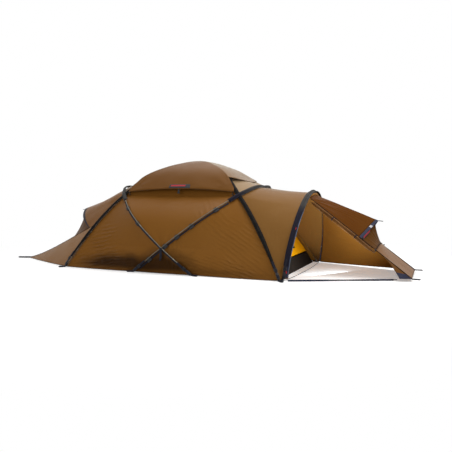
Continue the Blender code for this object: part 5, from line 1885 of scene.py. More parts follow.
@dataclass
class FrontPorch:
    """Hooded roof, end wall, closed far door, rolled near door and their fittings."""

    form: TentForm
    seam_y: float = 0.300
    roof_dip: float = 0.028
    band_width: float = 0.036
    door_hem_rise: float = -0.004
    strip_foot: Triple = (-0.125, -0.046, 0.0)
    strip_bow: float = 0.035
    roll_radius: float = 0.024
    roll_offset: Triple = (0.0, -0.016, -0.029)
    middle: Triple = (1.9, 0.0, 0.1)
    tie_places: Pair = (0.34, 0.70)
    tab_places: Pair = (0.345, 0.93)
    start_angle: float = field(init=False)
    vestibule: Vestibule = field(init=False)

    def __post_init__(self) -> None:
        """Finds where the slanted seams start."""
        self.start_angle = find_root(lambda a: self.seam_y - abs(float(self.form.porch_arch(a)[1])), 0.5, 1.5)
        start = self.form.under_porch(self.form.porch_arch(self.start_angle, self.form.zip_flap))
        self.vestibule = Vestibule(FRONT, start, (2.727, 0.376, 0.030), (2.330, 0.0, 0.633), 0.526, 0.665,
                                   0.0, 0.012, 0.045)

    def pole_edge(self, t: Array) -> Array:
        """Roof edge behind the porch pole.

        Args:
            t: Share of the way, from 0 to 1.

        Returns:
            The points.
        """
        angle = between(self.start_angle, math.pi - self.start_angle, t)
        points = self.form.under_porch(self.form.porch_arch(angle, self.form.zip_flap))
        points[..., 2] -= self.roof_dip * 4 * t * (1 - t)
        return points

    def build(self) -> None:
        """Makes the porch."""
        self.build_roof()
        self.build_walls()
        self.build_roll()
        self.build_fittings()

    def build_roof(self) -> None:
        """Makes the roof, the band along its hood and what is sewn on the band."""
        roof = self.vestibule.roof(self.pole_edge)
        start = 1 - band_share(roof, self.band_width)
        near_face = (0.0, -0.5, 0.8)
        relief = [Slack(0.0022, 0.4, 5.0),
                  Folds((1.95, -0.16, 0.76), (1.0, 0.0, -0.42), (0.45, 0.10), 0.05, 0.0035, near_face),
                  Rays((1.60, -0.28, 0.88), 9, 0.35, 0.0045, near_face),
                  Rays((1.60, 0.28, 0.88), 9, 0.35, 0.0045, (0.0, 0.5, 0.8))]
        cloth_sheet("porch_roof_cloth", roof, (72, 64), Finishes.hood, "porch_roof",
                    (INSET, (0.001, start - 0.001)), self.middle, relief, 0.03)
        trim("porch_hood_band", roof, (72, 4), Finishes.slate, (INSET, (start, 0.999)), self.middle, 0.0020,
             replaces=["hood_band_front"])
        trim("hood_tag", proud(roof, 0.0030, self.middle), (6, 4), Finishes.tag,
             ((0.285, 0.335), (start + 0.004, 0.996)), self.middle, 0.0008)

    def far_edge(self, t: Array) -> Array:
        """Edge of the far door along the porch pole.

        Args:
            t: Share of the way, from 0 to 1.

        Returns:
            The points.
        """
        last = self.form.hem_height / self.form.porch_foot[1]
        points = self.form.porch_arch(between(self.start_angle, last, t), self.form.zip_flap)
        return mirror_y(self.form.under_porch(points))

    def build_walls(self) -> None:
        """Makes the end wall, vent cloth, far door and corner strip."""
        vest = self.vestibule
        sheet = partial(cloth_sheet, middle=self.middle)
        sheet("porch_end_wall_cloth", vest.end_wall(), (48, 40), Finishes.porch, "porch_end_wall",
              ((0.003, 0.997), (0.006, 0.999)), taut=0.03, relief=[
                  Slack(0.0016, 0.3, 1.0),
                  Folds((2.62, 0.0, 0.14), (0.3, 1.0, 0.0), (0.3, 0.06), 0.05, 0.002, (0.6, 0.0, 0.8))])
        sheet("porch_vent_cloth", vest.screen(), (60, 24), Finishes.screen, "vent_screen_front", taut=0.02,
              thickness=THIN_CLOTH, relief=[
                  Folds((2.32, y, 0.45), (0.1, 0.0, 1.0), (0.25, 0.16), 0.06, 0.006, (1.0, 0.0, 0.0))
                  for y in (-0.14, 0.14)])
        hem = straight(self.far_edge(1.0), mirror_y(vest.corner), (0.0, 0.0, self.door_hem_rise))
        door = stretched(shrunk(self.far_edge, 0), hem, self.far_edge, vest.seam(FAR))
        sheet("porch_far_door_cloth", door, (60, 60), Finishes.porch, "porch_door_far",
              ((0.006, 0.997), (0.010, 0.997)), taut=0.03, body="porch_door_far", relief=[
                  Slack(0.0024, 0.4, 7.0), Rays((1.60, 0.30, 0.87), 11, 0.5, 0.0050, (0.3, 1.0, 0.4)),
                  Rays((2.68, 0.38, 0.05), 9, 0.35, 0.0045, (0.3, 1.0, 0.2)),
                  Folds((1.72, 0.66, 0.34), (0.9, -0.2, -0.25), (0.30, 0.2), 0.05, 0.0030, (0.3, 1.0, 0.2))])
        foot = vest.corner + np.array(self.strip_foot)
        toggle = vest.seam(NEAR)(np.array(vest.sill_share))
        edge = straight(toggle, foot, (0.0, self.strip_bow * 0.4, self.strip_bow))
        strip = stretched(shrunk(edge, 0), straight(foot, vest.corner), edge,
                          vest.seam(NEAR, vest.sill_share, 1))
        sheet("porch_corner_cloth", strip, (12, 36), Finishes.roll, "porch_corner_strip",
              ((0.003, 0.990), (0.05, 0.999)))
        trim("porch_corner_patch_near", proud(strip, 0.0024, self.middle), (10, 10), Finishes.slate,
             ((0.0, 0.99), (0.84, 1.0)), self.middle, 0.0012)
        trim("porch_corner_patch_far", vest.corner_patch(FAR, 0.09, 0.30), (8, 12), Finishes.slate,
             middle=self.middle, weld=True)
        for side, word in SIDES:
            seam = vest.seam(side, 0.015, 1.0)(np.linspace(0, 1, 50))
            edging(f"porch_seam_piping_{word}", seam + vec(0.0, 0.0, 0.002), 0.0050)
        sill_binding("porch_sill_binding", vest)

    def build_roll(self) -> None:
        """Makes the rolled near door, its zip edge, its ties and its toggle."""
        vest = self.vestibule
        seam = vest.seam(NEAR, 0.03, vest.sill_share - 0.01)
        t = np.linspace(0, 1, 90)
        path = seam(t) + np.array(self.roll_offset)
        path[:, 2] -= 0.004 * np.sin(t * 9.0) ** 2
        path[:, 1] += 0.002 * np.sin(t * 14.0)
        ends = np.clip(np.minimum(t / 0.05, (1 - t) / 0.10), 0.25, 1.0) ** 0.5
        waists = np.exp(-((t[:, None] - np.array(self.tie_places)) / 0.02) ** 2).sum(axis=1)
        radius = self.roll_radius * ends * (1 - 0.16 * waists)
        Shaper("porch_rolled_door").rod(path, radius, 28, 0.82, 2.3, 0.10).install(
            Finishes.roll, replaces=["porch_door_roll_near"])
        edging("roll_zip_edge", (path + np.outer(radius, vec(0.0, -0.93, 0.36)))[4:-6], 0.0024)
        inner, outer, half = 0.0195, 0.0225, 0.006
        hoop = [(-half, inner), (-half, outer), (half, outer), (half, inner), (-half, inner)]
        for index, place in enumerate(self.tie_places):
            point = seam(np.array(place)) + np.array(self.roll_offset)
            run = unit(seam(np.array(place + 0.02)) - seam(np.array(place)))
            Shaper(f"roll_tie_{index}").spun(hoop, frame_at(point, run, UP), 24).install(
                Finishes.webbing, slot="webbing")
        toggle = seam(np.array(1.0)) + vec(0.004, -0.008, -0.006)
        matrix = frame_at(toggle, vec(0.3, -0.2, -1.0), vec(0.0, -1.0, 0.2))
        fitting(Shaper("roll_toggle").spun([(-0.016, 0.0), (-0.016, 0.005), (-0.006, 0.0075), (0.006, 0.0075),
                                            (0.016, 0.005), (0.016, 0.0)], matrix, 16))

    def zip_band(self, side: int) -> Surface:
        """Band of the zip in front of the porch pole.

        Args:
            side: NEAR or FAR.

        Returns:
            The surface.
        """
        low, high = 0.035, 1.02

        def surface(u: Array, v: Array) -> Array:
            """Point of the band, in front of the arch."""
            points = self.form.porch_arch(between(high, low, u), 0.0)
            out = self.form.porch_normal(points)
            forward = between(0.008, 0.034, v)[..., None] * vec(1.0, 0.0, 0.12)
            points = points + forward - out * between(0.004, 0.016, v)[..., None]
            return points if side == NEAR else mirror_y(points)
        return surface

    def build_fittings(self) -> None:
        """Makes the zip bands beside the pole, the labels and the peg loops."""
        vest = self.vestibule
        for side, word in SIDES:
            band = self.zip_band(side)
            trim(f"porch_zip_band_{word}", band, (70, 6), Finishes.slate, middle=(1.2, 0.0, 0.2),
                 thickness=0.0016)
            path = band(np.linspace(0, 1, 60), np.full(60, 1.0)) + vec(0.002, side * 0.002, 0.0)
            edging(f"porch_zip_piping_{word}", path, 0.0036, Finishes.piping, "webbing", 10)
            for index, place in enumerate(self.tab_places):
                here, ahead = (band(np.array(share), np.array(0.2)) for share in (place, place + 0.02))
                matrix = frame_at(here + vec(0.0, side * 0.007, 0.0), ahead - here, vec(0.0, side, 0.0))
                Shaper(f"red_tab_{word}_{index}").block((0.026, 0.020, 0.002), matrix, 0.0005).install(
                    Finishes.red, slot="webbing")
            corner = mirror_y(vest.corner) if side == FAR else vest.corner
            peg_loop(f"porch_peg_loop_{word}", corner, (0.95, side * 0.10, 0.0), 0.080, 0.016)
        peg_loop("hood_loop_upper", vest.hood_tip + vec(-0.004, 0.0, -0.002), (1.0, 0.0, -0.1), 0.050)
        spot = vest.seam(FAR)(np.array(vest.sill_share)) + vec(0.018, -0.007, 0.002)
        fitting(Shaper("sill_clip_far").block((0.024, 0.016, 0.012), Matrix.Translation(Vector(spot)), 0.003))
        low, high = (vest.roof(self.pole_edge)(np.array(u), np.array(0.985)) for u in (0.06, 0.27))
        drop = vec(0.004, -0.012, -0.045)
        label = stretched(straight(low, high), straight(low + drop, high + drop), straight(low, low + drop),
                          straight(high, high + drop))
        trim("hood_label", label, (20, 6), Finishes.label, (WHOLE, (0.1, 1.0)), self.middle, slot="canopy")


@dataclass
class RearVestibule:
    """Hooded roof, low end wall and side walls behind the dome."""

    form: TentForm
    seam_step: float = 0.770
    seam_sag: float = 0.035
    band_width: float = 0.042
    middle: Triple = (-1.4, 0.0, 0.1)
    corner_rise: float = 0.006
    loop_rise: float = 0.004
    vestibule: Vestibule = field(init=False)

    def __post_init__(self) -> None:
        """Sets out the vestibule from the rear legs."""
        start = self.form.under_dome(self.form.diagonal_leg(REAR, NEAR, self.seam_step))
        self.vestibule = Vestibule(REAR, start, (2.535, 0.358, 0.006), (1.805, 0.0, 0.717), 0.100, 0.260,
                                   0.070, 0.450, -0.130, self.seam_sag, screen_setback=0.030,
                                   screen_drape=0.035)

    def build(self) -> None:
        """Makes the vestibule."""
        form, vest = self.form, self.vestibule
        edge = chained(form.leg(REAR, NEAR, self.seam_step, form.cross_step), form.over_the_top(REAR),
                       form.leg(REAR, FAR, form.cross_step, self.seam_step))
        roof = vest.roof(edge)
        start = 1 - band_share(roof, self.band_width)
        sheet = partial(cloth_sheet, middle=self.middle)
        sheet("rear_roof_cloth", roof, (96, 40), Finishes.rear_roof, "rear_roof",
              (INSET, (0.001, start - 0.001)), taut=0.03, relief=[
                  Slack(0.0025, 0.45, 4.0), Rays((-1.78, 0.0, 0.72), 9, 0.30, 0.004, (-0.5, 0.0, 0.8))])
        trim("rear_hood_band", roof, (96, 4), Finishes.webbing, (INSET, (start, 0.999)), self.middle, 0.0020,
             replaces=["hood_band_rear"])
        sheet("rear_end_wall_cloth", vest.end_wall(), (60, 48), Finishes.porch, "rear_end_wall",
              ((0.003, 0.997), (0.004, 0.999)), taut=0.03, relief=[Slack(0.002, 0.35, 6.0)] + [
                  Rays((-2.50, y, 0.03), 9, 0.3, 0.004, (-0.3, 0.0, 1.0)) for y in (-0.35, 0.35)])
        sheet("rear_vent_cloth", vest.screen(), (72, 30), Finishes.screen, "vent_screen_rear", taut=0.02,
              thickness=THIN_CLOTH, relief=[
                  Slack(0.003, 0.25, 2.0),
                  Folds((-1.9, 0.0, 0.5), (0.0, 1.0, 0.1), (0.4, 0.2), 0.05, 0.003, (-1.0, 0.0, 0.3))])
        for side, word in SIDES:
            self.build_side(side, word)
        sill_binding("rear_sill_binding", vest)
        peg_loop("rear_hood_loop", vest.hood_tip + vec(0.004, 0.0, -0.012), (-1.0, 0.0, -0.1), 0.040, 0.008)

    def build_side(self, side: int, word: str) -> None:
        """Makes the wall, patch, webbing, loop and piping of one side.

        Args:
            side: Side of the tent.
            word: Name of that side.
        """
        form, vest = self.form, self.vestibule
        foot_leg = form.leg(REAR, side, self.seam_step, form.step_at(form.hem_height))
        corner = vest.corner if side == NEAR else mirror_y(vest.corner)
        hem = straight(corner, foot_leg(1.0), (0.0, side * 0.02, 0.0))
        wall = stretched(shrunk(foot_leg, 0), hem, vest.seam(side), foot_leg)
        relief = [Slack(0.002, 0.4, 8.0), Folds((-1.75, side * 0.7, 0.12), (0.9, 0.0, 0.3), (0.4, 0.1), 0.04,
                                                0.0025, (-0.3, float(side), 0.6))]
        cloth_sheet(f"rear_wall_cloth_{word}", wall, (60, 40), Finishes.rear, f"rear_wall_{word}",
                    (INSET, (0.012, 0.999)), self.middle, relief, 0.03)
        trim(f"rear_corner_patch_{word}", vest.corner_patch(side, 0.10, 0.08), (8, 8), Finishes.slate,
             middle=self.middle, weld=True)
        away = unit(vec(-1.0, side * 0.25, 0.0))
        place = frame_at(corner + away * 0.004 + vec(0.0, 0.0, self.corner_rise), away, UP)
        Shaper(f"rear_corner_webbing_{word}").block((0.120, 0.034, 0.016), place, 0.002).install(
            Finishes.webbing, slot="webbing")
        peg_loop(f"rear_peg_loop_{word}", corner + away * 0.040 + vec(0.0, 0.0, self.loop_rise), away, 0.115,
                 0.022)
        piping = vest.seam(side, vest.hood_share, 1.0)(np.linspace(0, 1, 30))
        edging(f"rear_seam_piping_{word}", piping + vec(0.0, 0.0, 0.003), 0.0028)


# Inner tent


@dataclass
class InnerTent:
    """Yellow inner with a zipped door at each end, over a black tub."""

    form: TentForm
    drop: float = 0.085
    tub_height: float = 0.150
    tub_flare: Pair = (1.070, 1.020)
    ceiling_step: float = 0.350
    ceiling_crown: float = 0.040
    eave_crown: float = 0.020
    rim_gap: float = 0.004
    side_sag: float = 0.018
    door_share: Pair = (0.27, 0.73)
    door_rise: Pair = (0.30, 0.93)
    door_gap: float = 0.002
    zip_share: float = 0.009

    def leg(self, end: int, side: int, low: float, high: float) -> Curve:
        """Run of a diagonal leg at the inner's distance below the pole."""
        return self.form.leg(end, side, low, high, self.drop)

    def tub_step(self) -> float:
        """Step at which the inner's wall comes down to the tub's rim.

        Returns:
            The step.
        """
        def below(step: float) -> float:
            """Distance from the wall's lower edge up to the rim."""
            return self.tub_height + self.rim_gap - float(self.leg(FRONT, NEAR, 0, step)(np.array(1.0))[2])
        return find_root(below, 0.7, 0.98)

    def outline(self) -> list[Pair]:
        """Corners of the tub's rim going round, seen from above.

        Returns:
            The corners.
        """
        found: list[Pair] = []
        foot = abs(float(self.form.under_dome(self.form.dome_arch(1, 0.0), self.drop)[1]))
        for side, ends in ((NEAR, (REAR, FRONT)), (FAR, (FRONT, REAR))):
            first, last = (self.leg(end, side, 0, self.tub_step())(np.array(1.0)) for end in ends)
            middle = [(end * self.form.arch_foot[0], side * foot) for end in ends]
            found += [(first[0], first[1]), *middle, (last[0], last[1])]
        return found

    def rim(self, points: Sequence[Pair]) -> Curve:
        """Rim of the tub through several corners."""
        raised = [vec(x, y, self.tub_height + self.rim_gap) for x, y in points]
        return chained(*[straight(a, b) for a, b in zip(raised[:-1], raised[1:])])

    def build(self) -> None:
        """Makes the tub, walls, ceiling, doors and zips."""
        self.build_tub()
        outline = self.outline()
        step = self.tub_step()
        top = {(end, side): self.leg(end, side, 0, self.ceiling_step)(np.array(1.0))
               for end in (REAR, FRONT) for side in (NEAR, FAR)}
        leg = {(end, side): self.leg(end, side, self.ceiling_step, step) for end, side in top}
        eave = {side: straight(top[REAR, side], top[FRONT, side], (0.0, 0.0, self.eave_crown))
                for side in (NEAR, FAR)}
        crown = {end: straight(top[end, NEAR], top[end, FAR], (0.0, 0.0, self.ceiling_crown))
                 for end in (REAR, FRONT)}
        for side, word in SIDES:
            rim = outline[:4] if side == NEAR else outline[4:][::-1]
            wall = stretched(eave[side], self.rim(rim), leg[REAR, side], leg[FRONT, side], self.side_sag,
                             (0.0, float(-side), 0.0))
            self.sheet(f"inner_wall_cloth_{word}", wall, (60, 40), node=f"inner_wall_{word}",
                       spans=((0.003, 0.997), (0.003, 0.997)), relief=[Slack(0.004, 0.4, 1.0)], taut=0.06)
        ceiling = stretched(crown[REAR], crown[FRONT], eave[NEAR], eave[FAR], self.ceiling_crown, UP)
        self.sheet("inner_ceiling_cloth", ceiling, (36, 36), node="inner_ceiling",
                   spans=((0.004, 0.996), (0.004, 0.996)))
        for end, word, corners in ((FRONT, "front", (3, 4)), (REAR, "rear", (0, 7))):
            rim = self.rim([outline[corner] for corner in corners])
            self.build_door_wall(word, stretched(crown[end], rim, leg[end, NEAR], leg[end, FAR]))

    @staticmethod
    def sheet(name: str, surface: Surface, cells: tuple[int, int], **rest: Any) -> None:
        """Makes one sheet of the inner's cloth."""
        cloth_sheet(name, surface, cells, Finishes.inner, slot="inner", thickness=THIN_CLOTH, **rest)

    def build_door_wall(self, word: str, wall: Surface) -> None:
        """Makes one end wall with its door and zip.

        Args:
            word: Which end it is.
            wall: Surface of the wall.
        """
        (u_low, u_high), (v_low, v_high) = opening = (self.door_share, self.door_rise)
        self.sheet(f"inner_end_cloth_{word}", wall, (100, 100), node=f"inner_wall_{word}",
                   spans=(WHOLE, (0.004, 0.996)), opening=opening)
        gap, width, start = self.door_gap, self.zip_share, 0.001
        self.sheet(f"inner_door_cloth_{word}", wall, (40, 48), node=f"inner_door_{word}",
                   spans=((u_low + gap, u_high - gap), (v_low + gap, v_high - gap)),
                   relief=[Slack(0.003, 0.3, 5.0)], taut=0.04, body=f"inner_door_{word}")
        sides = (v_low, v_high + 0.01)
        tapes = (((u_low - width, u_low - start), sides), ((u_high + start, u_high + width), sides),
                 ((u_low - width, u_high + width), (v_high + start, v_high + 0.012)))
        for index, spans in enumerate(tapes):
            trim(f"inner_zip_tape_{word}_{index}", proud(wall, 0.0030), (30, 30), Finishes.zip_tape, spans,
                 slot="inner")

    def build_tub(self) -> None:
        """Makes the groundsheet with its upright sides."""
        form = bmesh.new()
        corners = [form.verts.new((x * self.tub_flare[0], y * self.tub_flare[1], 0.0))
                   for x, y in self.outline()]
        form.faces.new(corners)
        walls = bmesh.ops.extrude_edge_only(form, edges=form.edges[:])
        raised = [item for item in walls["geom"] if isinstance(item, bmesh.types.BMVert)]
        bmesh.ops.scale(form, vec=(1 / self.tub_flare[0], 1 / self.tub_flare[1], 1.0), verts=raised)
        bmesh.ops.translate(form, vec=(0.0, 0.0, self.tub_height), verts=raised)
        bmesh.ops.recalc_face_normals(form, faces=form.faces)
        if min(form.faces, key=lambda f: f.calc_center_median().z).normal.z > 0:
            bmesh.ops.reverse_faces(form, faces=form.faces)
        bmesh.ops.subdivide_edges(form, edges=form.edges[:], cuts=11, use_grid_fill=True)
        bmesh.ops.triangulate(form, faces=[f for f in form.faces if len(f.verts) > 4])
        cloth_layer = form.loops.layers.uv.new("cloth")
        for face in form.faces:
            for loop in face.loops:
                loop[cloth_layer].uv = (loop.vert.co.x + loop.vert.co.y,
                                        loop.vert.co.z + loop.vert.co.y * 0.5)
        seam_layer = form.verts.layers.float.new("seam")
        for vertex in form.verts:
            vertex[seam_layer] = self.tub_height - vertex.co.z
        shaper = Shaper("tub_cloth_sheet")
        shaper.area = sum(f.calc_area() for f in form.faces)
        shaper.take(form)
        shaper.install(Finishes.tub, replaces=["inner_groundsheet_tub"], slot="tub", thickness=0.0020,
                       sheet=(3.1, 2.1))


# Poles and what lies along them


@dataclass
class PoleSet:
    """Poles with their sleeves, clips, feet and tension straps."""

    poles: dict[str, PoleLine]
    radius: float = 0.005
    tip: float = 0.0295
    section: float = 0.46
    sleeve_width: float = 0.055
    sleeve_start: float = 0.16
    arch_sleeve_run: float = 0.150
    first_station: float = 0.11
    loop_length: float = 0.075
    clip_places: dict[str, tuple[float, ...]] = field(default_factory=lambda: {
        "arch_rear": (0.969, 1.295), "arch_front": (0.287, 0.550, 0.734, 0.946, 1.290)})
    line_drop: dict[str, float] = field(default_factory=lambda: {"arch_rear": 0.0128, "arch_front": 0.0156})
    line_shift: dict[str, float] = field(default_factory=lambda: {"arch_rear": 0.014, "arch_front": -0.020})
    dark_ends: dict[str, Pair] = field(default_factory=lambda: {
        "arch_rear": (0.0, 0.02), "arch_front": (0.10, 0.42), "porch": (0.66, 0.80)})
    porch_overhang: float = 0.016
    sleeve_cell: float = 0.012
    hook_places: tuple[float, ...] = (-0.012, 0.0, 0.012)
    cup: tuple[Pair, ...] = (
        (0.0, 0.0), (0.0, 0.0085), (0.003, 0.0110), (0.034, 0.0105), (0.038, 0.0118), (0.041, 0.0112),
        (0.041, 0.0060), (0.0105, 0.0058), (0.0102, 0.0))

    def build(self) -> None:
        """Makes everything along the poles."""
        for name, pole in self.poles.items():
            self.build_pole(name, pole)
            self.build_sleeve(name, pole)
            self.build_feet(name, pole)
            if name in self.line_drop:
                self.build_clips(name, pole)

    def build_pole(self, name: str, pole: PoleLine) -> None:
        """Makes a pole with the joints between its sections.

        Args:
            name: Pole's name.
            pole: Line of the pole.
        """
        places = np.arange(self.tip, pole.length - self.tip, 0.022)
        path, _, _ = pole.read(np.append(places, pole.length - self.tip))
        shaper = Shaper(f"tube_{name}").rod(path, self.radius, 14)
        joints = np.arange(self.section, pole.length - 0.2, self.section)
        for place in joints:
            matrix = pole.matrix(float(place))
            shaper.spun([(-0.022, self.radius * 0.98), (-0.021, self.radius * 1.10),
                         (0.021, self.radius * 1.10), (0.022, self.radius * 0.98)], matrix, 14)
        shaper.install(Finishes.tube, replaces=[f"pole_{name}"], slot="pole")

    def sleeve(self, pole: PoleLine, start: float, end: float, overhang: float = 0.0,
               tapered: bool = False) -> Surface:
        """Sleeve with flat wings and a round crown over the pole.

        Args:
            pole: Pole in the sleeve.
            start: Distance along the pole where it starts.
            end: Distance where it ends.
            overhang: Extra width at the top, toward the front.
            tapered: Whether it narrows toward its ends.

        Returns:
            Surface of the sleeve.
        """
        half = self.sleeve_width / 2

        def surface(u: Array, v: Array) -> Array:
            """Point of the sleeve round its pole."""
            distance = between(start, end, u)
            point, run, out = pole.read(distance)
            across = between(-half, half, v)
            if overhang:
                across = across - overhang * np.clip((point[..., 2] - 0.66) / 0.12, 0, 1) * (1 - v)
            if tapered:
                to_end = np.minimum(distance - start, end - distance)
                across = across * (0.62 + 0.38 * np.clip((to_end - 0.10) / 0.30, 0, 1))
            lift = -0.0022 + 0.0150 * np.exp(-(across / 0.0115) ** 4)
            lift = lift + 0.0030 * np.exp(-((np.abs(across) - 0.016) / 0.005) ** 2)
            return point + np.cross(out, run) * across[..., None] + out * lift[..., None]
        return surface

    def build_sleeve(self, name: str, pole: PoleLine) -> None:
        """Makes the cloth sleeve of a pole.

        Args:
            name: Pole's name.
            pole: Line of the pole.
        """
        start, end = self.sleeve_start, pole.length - self.sleeve_start
        diagonal = name.startswith("diagonal")
        if name.startswith("arch"):
            start = pole.marks["near"] - self.arch_sleeve_run
            end = pole.marks["far"] + self.arch_sleeve_run
        finish: Finish = Finishes.black_sleeve
        if not diagonal:
            finish = PlainWeave(f"{name}_sleeve_cloth", (0.036, 0.034, 0.032), (0.085, 0.080, 0.076),
                                relief=0.0008, end_colour=(0.010, 0.009, 0.017),
                                end_run=self.dark_ends[name], length=end - start)
        surface = self.sleeve(pole, start, end, self.porch_overhang if name == "porch" else 0.0, diagonal)
        cells = int((end - start) / self.sleeve_cell)
        panel = Panel(surface, cells, 22, (Edge.TOP, Edge.BOTTOM))
        shaper = Shaper(f"sleeve_cloth_{name}").panel(panel, BELOW)
        shaper.relief([Slack(0.0011, 0.045, 1.0), Slack(0.0007, 0.021, 2.0)], 0.004)
        shaper.install(finish, replaces=[f"sleeve_{name}"],
                       slot="black_sleeve" if diagonal else "grey_sleeve", thickness=0.0011)

    def build_clips(self, name: str, pole: PoleLine) -> None:
        """Makes the webbing under an arch and the clips that hold the pole.

        Args:
            name: Pole's name.
            pole: Line of the pole.
        """
        start, end = 0.105, pole.marks["near"] - self.arch_sleeve_run - 0.015
        drop, shift = self.line_drop[name], self.line_shift[name]

        def strap(v: Array) -> tuple[Array, Array]:
            """Flat strap across the pole, below it."""
            return between(shift - 0.010, shift + 0.010, v), 0 * v - drop + 0.003
        for side, word in SIDES:
            low, high = (start, end) if side == NEAR else (pole.length - end, pole.length - start)
            shaper = Shaper(f"clip_webbing_{name}_{word}")
            shaper.panel(Panel(pole.strip(low, high, strap, True), 90, 2, (Edge.TOP, Edge.BOTTOM)), ORIGIN)
            shaper.install(Finishes.webbing, slot="webbing", thickness=0.0012, offset=0.0,
                           replaces=[f"clip_line_{name}_near"] if side == NEAR else ())
            clips = Shaper(f"pole_clips_{name}_{word}")
            for place in self.clip_places[name]:
                self.add_clip(clips, pole, place if side == NEAR else pole.length - place, drop, shift)
            fitting(clips)

    def add_clip(self, clips: Shaper, pole: PoleLine, place: float, drop: float, shift: float) -> None:
        """Adds one clip: a base on the webbing and a hook round the pole.

        Args:
            clips: Piece it becomes part of.
            pole: Pole that it holds.
            place: Distance along the pole.
            drop: Depth of the webbing under the pole.
            shift: Distance of the webbing beside the pole.
        """
        point, run, out = pole.read(np.array(place))
        skin, _, _ = pole.read(np.array(place), True)
        side = np.cross(out, run)
        beside = side * shift
        lift = float((point - skin) @ out)
        base = frame_at(skin + beside - out * (drop - 0.0060), run, out)
        clips.block((0.062, 0.040, 0.0120), base, 0.0034)
        middle = (lift - self.radius - drop + 0.004) / 2
        neck = frame_at(skin + beside * 0.5 + out * middle, run, out)
        clips.block((0.036, 0.030, max(lift - self.radius + drop - 0.002, 0.003)), neck, 0.0008)
        for along in self.hook_places:
            arc = [point + run * along + (side * math.cos(a) + out * math.sin(a)) * (self.radius + 0.0042)
                   for a in np.linspace(-math.pi * 0.62, math.pi * 0.62, 13) - math.pi / 2]
            clips.rod(np.array(arc), 0.0058, 8)

    def build_feet(self, name: str, pole: PoleLine) -> None:
        """Makes the cups, tension straps and buckles at both ends of a pole.

        Args:
            name: Pole's name.
            pole: Line of the pole.
        """
        def strap(v: Array) -> tuple[Array, Array]:
            """Flat strap across the pole, over it."""
            return between(-0.0125, 0.0125, v), 0 * v + 0.0150
        for side, word in SIDES:
            def read(distance: float, side: int = side) -> tuple[Array, Array, Array]:
                """Place and directions at a distance from this side's end."""
                return pole.read(np.array(distance if side == NEAR else pole.length - distance))
            point, run, out = read(0.018)
            run = run if side == NEAR else -run
            shaper = Shaper(f"pole_foot_{name}_{word}").spun(self.cup, frame_at(point, run, out), 24)
            shaper.block((0.070, 0.034, 0.0060), frame_at(point + run * 0.043 + out * 0.0125, run, out),
                         0.0020)
            fitting(shaper, replaces=[f"foot_{name}_{word}"])
            down = -run * vec(1.0, 1.0, 0.0)
            away = unit(down + vec(0.0, 0.3 * side * float(np.linalg.norm(down)), 0.0))
            peg_loop(f"foot_loop_{name}_{word}", point * vec(1.0, 1.0, 0.0) + vec(0.0, 0.0, 0.010), away,
                     self.loop_length, 0.022)
            low, high = (0.040, 0.235) if side == NEAR else (pole.length - 0.235, pole.length - 0.040)
            Shaper(f"tension_webbing_{name}_{word}").panel(
                Panel(pole.strip(low, high, strap), 24, 3, (Edge.TOP, Edge.BOTTOM)), BELOW).install(
                Finishes.webbing, slot="webbing", thickness=0.0014, offset=0.0)
            place = self.first_station + 0.020
            buckle = Shaper(f"ladder_buckle_{name}_{word}")
            for shift in (-0.013, 0.0, 0.013):
                point, run, out = read(place + shift)
                buckle.block((0.0060, 0.034, 0.0065), frame_at(point + out * 0.0180, run, out), 0.0015)
            point, run, out = read(place)
            across = np.cross(out, run)
            for shift in (-0.0160, 0.0160):
                bar = frame_at(point + out * 0.0150 + across * shift, run, out)
                buckle.block((0.040, 0.0060, 0.0110), bar, 0.0015)
            node = f"tension_buckle_{name}"
            fitting(buckle, *((node, [node]) if side == NEAR else ()))


# Straps and small fittings


